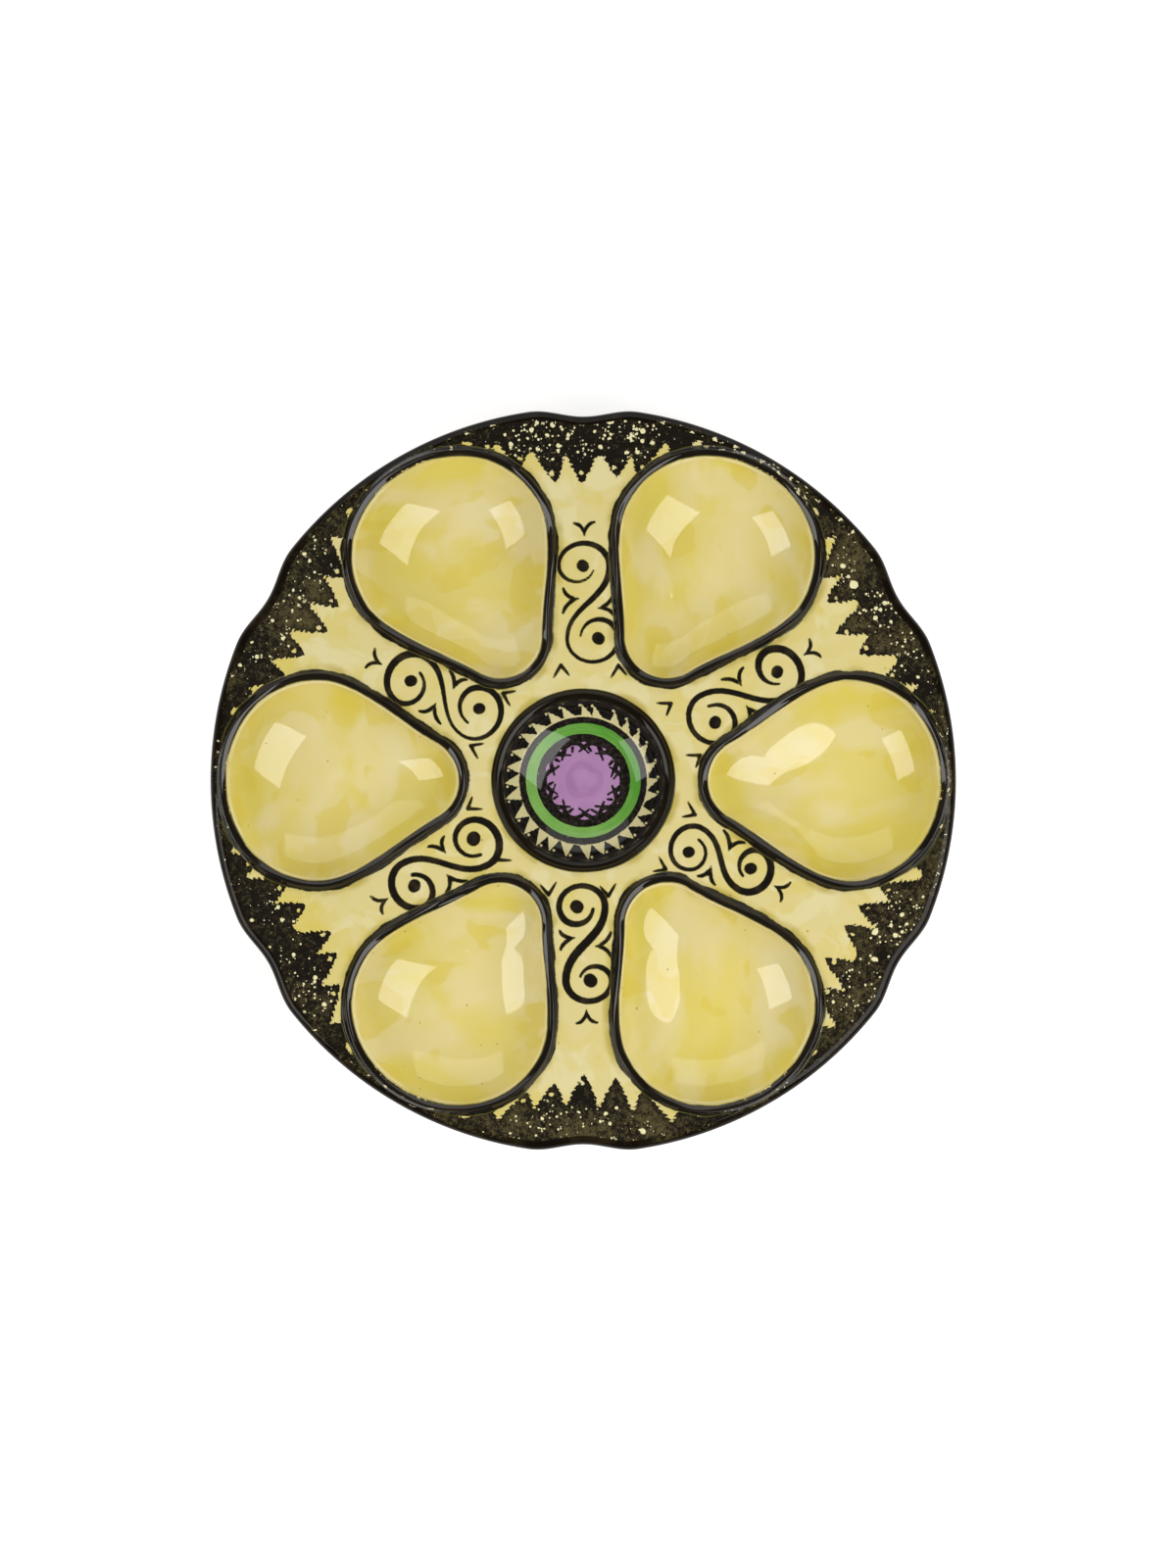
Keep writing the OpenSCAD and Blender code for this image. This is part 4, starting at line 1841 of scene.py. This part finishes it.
@dataclass(frozen=True)
class SauceOrnament:
    """Flame teeth and a scalloped centre painted in the sauce well, as distances in plan."""

    tooth_count: int = 28
    tooth_foot: float = 21.0
    comb_high: float = 3.3
    wedge_high: float = 4.6
    comb_side: float = 50.0
    ball_r: float = 0.42
    ball_across: float = 1.9
    bite_across: float = 1.75
    lobe_count: int = 10
    violet_r: float = 10.1
    lobe_high: float = 1.7
    sliver_from: float = 11.5
    sliver_to: float = 12.9
    tooth_stray: float = 0.16
    tall_play: Pair = (0.88, 1.12)
    wide_play: Pair = (0.84, 1.04)
    lobe_stray: float = 0.14
    cusp_stray: float = 0.10
    press_play: Pair = (0.85, 1.15)
    seed: int = 3

    @staticmethod
    def turn_from(angle: Array, middle: float) -> Array:
        """Angle in radians from a middle, between minus and plus half a turn."""
        return np.mod(angle - middle + math.pi, FULL_TURN) - math.pi

    def flames(self, r: Array, angle: Array) -> Array:
        """Distance outside the flame teeth, negative within: wedges on a thin ring, a ball at each tip.

        On the comb's side a tooth has an upright edge and falls away in steps; opposite, it is a plain
        leaning wedge.

        Args:
            r: Radius of each place.
            angle: Angle of each place, in radians.

        Returns:
            One distance for each place.
        """
        rng = np.random.default_rng(self.seed)
        high = r - self.tooth_foot
        comb = math.radians(self.comb_side)
        rise = self.wedge_high - self.comb_high
        best = np.abs(high + 0.1) - 0.2 - 0.12 * np.cos(angle - comb)
        width = FULL_TURN * (self.tooth_foot + 1.5) / self.tooth_count
        for k in range(self.tooth_count):
            middle = FULL_TURN * (k + rng.uniform(-self.tooth_stray, self.tooth_stray)) / self.tooth_count
            plain = 0.5 - 0.5 * math.cos(middle - comb)
            tall = (self.comb_high + rise * plain) * rng.uniform(*self.tall_play)
            across = self.turn_from(angle, middle) * r
            share = np.clip(1.0 - high / tall, 0.0, 1.0)
            half = width * 0.44 * share**0.85 * rng.uniform(*self.wide_play)
            steps = 0.5 * np.mod(3.0 * share + rng.uniform(), 1.0)
            lead = (1.0 - plain) * (0.24 * width + 0.05 * high) + plain * (0.15 * high + half)
            trail = (1.0 - plain) * ((0.24 - 0.75 * share) * width + steps) + plain * (0.15 * high - half)
            sides = np.maximum(across - lead, trail - across)
            wedge = np.maximum(np.maximum(sides, -high), high - tall)
            ball = np.hypot(across - self.ball_across, high - tall * (0.96 - 0.14 * plain)) - self.ball_r
            bite = np.hypot(across - self.bite_across, high - tall * 0.52) - (0.55 - 0.15 * plain)
            best = np.minimum(best, np.minimum(np.maximum(wedge, -bite), ball))
        return best

    def violet(self, r: Array, angle: Array) -> Array:
        """Distance outside the violet, negative within: a scalloped disc with a black comma in each lobe.

        Black dashes cross at the cusps between the lobes, and thin slivers of violet lie outside them.

        Args:
            r: Radius of each place.
            angle: Angle of each place, in radians.

        Returns:
            One distance for each place.
        """
        rng = np.random.default_rng(self.seed + 1)
        x, y = r * np.cos(angle), r * np.sin(angle)
        step = FULL_TURN / self.lobe_count
        lobe = np.abs(np.cos(math.pi * np.mod(angle / step, 1.0)))
        best = (r - self.violet_r - self.lobe_high * lobe**0.6) * 0.8
        for k in range(self.lobe_count):
            middle = step * (k + rng.uniform(-self.lobe_stray, self.lobe_stray))
            cusp = step * (k + 0.5 + rng.uniform(-self.cusp_stray, self.cusp_stray))
            dashes = [
                ((middle - 0.02, middle + rng.uniform(-0.1, 0.1)), (9.9, 11.1), 0.55),
                ((cusp - 0.18, cusp + 0.20), (9.2, 12.3), 0.50),
                ((cusp + 0.16, cusp - 0.20), (9.6, 12.3), 0.46),
            ]
            for turns, radii, wide in dashes:
                ends = np.transpose([radii * np.cos(turns), radii * np.sin(turns)])
                press = np.array([0.7, 1.0]) * wide * rng.uniform(*self.press_play)
                best = np.maximum(best, -BrushMark(ends, press).distance(x, y))
            side = np.abs(self.turn_from(angle, cusp)) * r
            sliver = np.maximum(side - 1.7 * (r - self.sliver_from), r - self.sliver_to + 0.16 * side)
            best = np.minimum(best, sliver + rng.uniform(0.0, 0.5))
        return best


@dataclass(frozen=True)
class SauceWell(Piece):
    """The round bowl in the middle, turned about the plate's axis."""

    ornament: SauceOrnament = SauceOrnament()
    inside_rings: int = 104
    under_rings: int = 10
    fillet_rings: int = 6

    def underside(self, low: float) -> Array:
        """Section of the underside: the foot of the wall, a fillet, then the bowl.

        Args:
            low: Height of the lowest place.

        Returns:
            Radii and heights, from the outside in.
        """
        f = self.form
        corner, start = (np.array([r, f.under_z(r)]) for r in (f.sauce_lip_r, f.sauce_lip_r + f.fillet))
        down = np.linspace(f.fillet_to, 0.0, self.under_rings + 1)[:-1]
        bowl = np.stack([corner[0] * f.bowl_reach(down), low + f.bowl_rise(down) * (corner[1] - low)], 1)
        return np.concatenate([corner[None], fillet(start, corner, bowl[0], self.fillet_rings), bowl])

    def solid(self) -> Solid:
        """The closed bowl: the superellipse section turned about the axis, with a seat for the lip.

        Returns:
            The closed solid.
        """
        f = self.form
        u = shares(self.inside_rings)[1:]
        mouth, shoulder = (float(f.field_z(r)) - f.lip_seat for r in (f.sauce_r, f.sauce_lip_r))
        low = f.sauce_floor - f.wall
        inside_z = f.sauce_floor + f.bowl_rise(u) * (mouth - f.sauce_floor)
        inside = np.stack([f.sauce_r * f.bowl_reach(u), inside_z], 1)
        section = np.concatenate([inside, [[f.sauce_lip_r, shoulder]], self.underside(low)])
        angle = np.linspace(0.0, FULL_TURN, PLACES_ROUND, endpoint=False)
        r, spin = np.broadcast_arrays(section[:, :1], angle)
        return Solid.capped(
            np.array([0.0, 0.0, f.sauce_floor]),
            round_axis(r, spin, section[:, 1:]),
            np.array([0.0, 0.0, low]),
            under=(np.arange(len(section)) >= len(u))[:, None].astype(float),
            from_middle=r,
            teeth=self.ornament.flames(r, spin),
            violet=self.ornament.violet(r, spin),
        )


@dataclass(frozen=True)
class SauceLip(Piece):
    """The raised lip round the sauce well."""

    section: LipSection

    def solid(self) -> Solid:
        """The closed bead, turned about the plate's axis.

        Returns:
            The closed solid.
        """
        f = self.form
        across, height = self.section.profile()
        place = np.concatenate([[0.0], across, [f.lip_w]])[:, None]
        lift = np.concatenate([[-f.lip_seat], height, [-f.lip_seat]])[:, None]
        angle = np.linspace(0.0, FULL_TURN, PLACES_ROUND, endpoint=False)
        r = f.sauce_r + place
        rings = round_axis(r, angle, f.field_z(r) + lift)
        return Solid.tube(rings, across=place, rimward=np.zeros_like(place))


@dataclass(frozen=True)
class FootRing(Piece):
    """The ring underneath, whose top follows the undersides of the field and the bowls."""

    outline: WellOutline
    edge_steps: int = 6
    side_steps: int = 12
    flare: float = 1.3
    flare_power: int = 9
    sink: float = 0.3

    def ceiling(self, r: float, degrees: Array) -> Array:
        """Height of the plate's underside: the cone, or a bowl's superellipse where a bowl is overhead.

        Args:
            r: Radius of the places.
            degrees: Angle of each place.

        Returns:
            One height for each place.
        """
        f = self.form
        lip = self.outline.lip_half()[::-1]
        from_centre = lip - [f.well_mid, 0.0]
        bearing = np.arctan2(from_centre[:, 1], from_centre[:, 0])
        off = np.radians(f.from_well(degrees))
        x, y = r * np.cos(off) - f.well_mid, np.abs(r * np.sin(off))
        way = np.arctan2(y, x)
        reach = np.hypot(x, y) / np.interp(way, bearing, from_axis(from_centre))
        edge_z = np.interp(way, bearing, f.under_z(from_axis(lip)))
        bowl = f.under_low + f.bowl_rise_at(reach) * (edge_z - f.under_low)
        return np.where(reach < 1.0, bowl, f.under_z(r))

    def solid(self) -> Solid:
        """The closed ring: a rounded standing edge, drafted sides that flare into the underside, and a top.

        Returns:
            The closed solid.
        """
        f = self.form
        degrees = np.linspace(0.0, 360.0, PLACES_ROUND, endpoint=False)
        inner = f.foot_r - f.foot_w
        turn = np.linspace(0.0, math.pi / 2.0, self.edge_steps)
        climb = shares(self.side_steps)[1:, None]
        lean = f.foot_draft * climb + self.flare * climb**self.flare_power
        edge_r = f.foot_bevel * np.sin(turn)[:, None]
        edge_z = f.foot_bevel * (1.0 - np.cos(turn))[:, None] * np.ones(PLACES_ROUND)
        outer_z, inner_z = (
            f.foot_bevel + climb * (self.ceiling(float(r), degrees) + self.sink - f.foot_bevel)
            for r in (f.foot_r + lean[-1, 0], inner - lean[-1, 0])
        )
        r = np.concatenate([
            inner + f.foot_bevel - edge_r[::-1], f.foot_r - f.foot_bevel + edge_r,
            f.foot_r + lean, inner - lean[::-1],
        ])
        z = np.concatenate([edge_z[::-1], edge_z, outer_z, inner_z[::-1]])
        return Solid.tube(round_axis(r, np.radians(degrees), z))


@dataclass(frozen=True)
class SoftBox:
    """One studio lamp: a soft rectangle that faces the plate. Lengths are in metres."""

    name: str
    bearing: float
    from_top: float
    distance: float
    size: Pair
    radiance: float

    def place(self) -> bpy.types.Object:
        """Makes the lamp.

        A lamp of one radiance all over has a power of pi times its area times that radiance.

        Returns:
            The lamp's object.
        """
        data = bpy.data.lights.new(self.name, "AREA")
        data.shape = "RECTANGLE"
        data.size, data.size_y = self.size
        data.energy = math.pi * self.size[0] * self.size[1] * self.radiance
        lamp = linked(self.name, data)
        tilt, turn = math.radians(self.from_top), math.radians(self.bearing)
        lamp.location = (
            self.distance * math.sin(tilt) * math.cos(turn),
            self.distance * math.sin(tilt) * math.sin(turn),
            self.distance * math.cos(tilt),
        )
        lamp.rotation_euler = (0.0, tilt, turn)
        lamp.visible_camera = False
        return lamp


@dataclass(frozen=True)
class Studio:
    """White floor, three soft boxes, a pale surround and a camera straight above. Lengths are in metres."""

    lamps: Sequence[SoftBox] = (
        SoftBox("right_softbox", -30.0, 40.0, 0.95, (0.66, 0.66), 4.35),
        SoftBox("left_softbox", 203.0, 50.0, 1.25, (0.66, 0.70), 4.3),
        SoftBox("top_softbox", 95.0, 57.0, 2.0, (1.4, 2.6), 1.4),
    )
    overhead: float = 0.15
    white_to: float = 0.03
    dim_from: float = 0.24
    floor_side: float = 12.0
    floor_albedo: float = 0.50
    floor_glow: float = 0.74
    shade_glow: float = 0.2
    shade_from: float = 0.05
    shade_to: float = 0.115
    fade_from: float = 0.35
    fade_to: float = 0.9
    camera_height: float = 1.6
    photo_wide: float = 1200.0
    photo_high: float = 1600.0
    plate_px: float = 762.0
    centre_px: Pair = (595.2, 796.4)
    sensor: float = 36.0

    def set_world(self) -> None:
        """Surround that is white at the horizon and dim overhead, and white all over to the camera."""
        tree = ShaderTree(bpy.data.worlds.new("surround"))
        seen = tree.node("ShaderNodeLightPath", output="Is Camera Ray")
        height = tree.height(tree.node("ShaderNodeTexCoord", output="Generated"))
        level = 1.0 - height.step(self.white_to, self.dim_from) * (1.0 - self.overhead)
        background = tree.nodes["Background"].inputs
        tree.put(background["Color"], (1.0, 1.0, 1.0, 1.0))
        tree.put(background["Strength"], level * (1.0 - seen) + seen)
        bpy.context.scene.world = tree.owner

    def lay_floor(self) -> bpy.types.Object:
        """Pale floor that keeps the shadow, fades to plain white far away, and is open from below.

        Returns:
            The floor's object.
        """
        corners = [(-1.0, -1.0, 0.0), (1.0, -1.0, 0.0), (1.0, 1.0, 0.0), (-1.0, 1.0, 0.0)]
        mesh = bpy.data.meshes.new("floor")
        mesh.from_pydata((np.array(corners) * self.floor_side / 2.0).tolist(), [], [(0, 1, 2, 3)])
        mesh.materials.append(self.floor_white())
        floor = linked("floor", mesh)
        return floor

    def floor_white(self) -> bpy.types.Material:
        """Matt white that glows a little to the eye, less under the plate as painted shade; white far off,
        clear from below.

        Returns:
            The finished material.
        """
        tree = ShaderTree("floor_white")
        seen = tree.node("ShaderNodeLightPath", output="Is Camera Ray")
        for kind in ("Is Glossy Ray", "Is Transmission Ray"):
            seen = seen.largest(tree.node("ShaderNodeLightPath", output=kind))
        matt = tree.node("ShaderNodeBsdfDiffuse", None, {"Color": (self.floor_albedo,) * 3 + (1.0,)})
        away = tree.vector("LENGTH", tree.here())
        # painted shade: the glow drops under the plate, which deepens the cast shadow there
        lit = away.step(self.shade_from, self.shade_to)
        shade = self.shade_glow + lit * (self.floor_glow - self.shade_glow)
        glow = tree.node("ShaderNodeEmission", None, {"Strength": seen * shade})
        near = tree.node("ShaderNodeAddShader", None, {0: matt, 1: glow})
        level = self.overhead + seen * (1.0 - self.overhead)
        far = tree.node("ShaderNodeEmission", None, {"Strength": level})
        fade = away.step(self.fade_from, self.fade_to)
        above = tree.node("ShaderNodeMixShader", None, {0: fade, 1: near, 2: far})
        clear = tree.node("ShaderNodeBsdfTransparent")
        below = tree.node("ShaderNodeNewGeometry", output="Backfacing")
        sides = tree.node("ShaderNodeMixShader", None, {0: below, 1: above, 2: clear})
        tree.put(tree.nodes["Material Output"].inputs["Surface"], sides)
        tree.nodes.remove(tree.surface)
        return tree.owner

    def set_camera(self, form: PlateForm) -> bpy.types.Object:
        """Camera straight above, so that the plate has the photograph's size and place in the frame.

        Args:
            form: The plate's sizes.

        Returns:
            The camera's object.
        """
        per_px = 2.0 * form.plate_r * MM / self.plate_px
        rim_z = float(form.field_z(form.seam_r)) * MM
        data = bpy.data.cameras.new("camera")
        data.sensor_width = self.sensor
        data.lens = self.sensor * self.camera_height / (self.photo_high * per_px)
        camera = linked("camera", data)
        off_x = (self.photo_wide / 2.0 - self.centre_px[0]) * per_px
        off_y = (self.centre_px[1] - self.photo_high / 2.0) * per_px
        camera.location = (off_x, off_y, rim_z + self.camera_height)
        bpy.context.scene.camera = camera
        return camera

    def build(self, form: PlateForm) -> None:
        """Sets up the whole studio.

        Args:
            form: The plate's sizes.
        """
        bpy.context.scene.view_settings.view_transform = "Standard"
        self.set_world()
        self.lay_floor()
        for lamp in self.lamps:
            lamp.place()
        self.set_camera(form)


SCROLLS = (
    RibScroll(outer_eye=(1.5, 71.5), inner_eye=(3.4, 46.0), loop=8.2, line=2.05, speckled=0.85),
    RibScroll(outer_eye=(0.2, 69.0), inner_eye=(3.0, 45.6), loop=8.2, line=1.6, speckled=1.0),
    RibScroll(outer_eye=(0.5, 64.2), inner_eye=(1.6, 40.6), loop=8.5, line=1.95),
    RibScroll(outer_eye=(-1.8, 64.0), inner_eye=(-0.4, 39.8), loop=7.8, line=2.5, dot=2.2),
    RibScroll(outer_eye=(-1.8, 64.4), inner_eye=(0.4, 40.6), loop=7.4, line=2.2, dot=2.15),
    RibScroll(outer_eye=(-1.8, 61.0), inner_eye=(1.4, 41.0), loop=7.2, line=2.1),
)


def main() -> None:
    """Builds the studio and every piece of the plate."""
    logging.basicConfig(level=logging.INFO, format="%(name)s %(message)s")
    form = PlateForm.from_frame()
    outline = WellOutline(form)
    section = LipSection(form)
    glaze = Glaze()
    line = BlackLine(Glaze(specular=0.42))
    ring = BlackLine(Glaze(specular=0.2), "black_ring", inner=-3.0, waver=0.4, thin=0.1)
    Studio().build(form)

    ribs = PlateField(form, outline, SCROLLS, SpongeBorder())
    ribs.dress("plate_field", Slot.FIELD, FieldPaint(glaze, line, form.lip_w).material())
    rim_black = RimPaint(Glaze(specular=0.15)).material()
    ScallopedRim(form, outline, ribs).dress("scalloped_rim", Slot.BLACK, rim_black)
    lip_black = line.material()
    for index in range(1, form.well_count + 1):
        well_wash = WellWash(glaze, line, index).material()
        OysterWell(form, outline, index).dress(f"oyster_well_{index}", Slot.WELL, well_wash)
        WellLip(form, outline, section, index).dress(f"well_lip_{index}", Slot.BLACK, lip_black)
    SauceWell(form).dress("sauce_well", Slot.SAUCE, SaucePaint(Glaze(specular=0.33)).material())
    SauceLip(form, section).dress("sauce_lip", Slot.BLACK, ring.material())
    FootRing(form, outline).dress("foot_ring", Slot.FOOT, FootFinish(glaze).material())


if __name__ == "__main__":
    main()
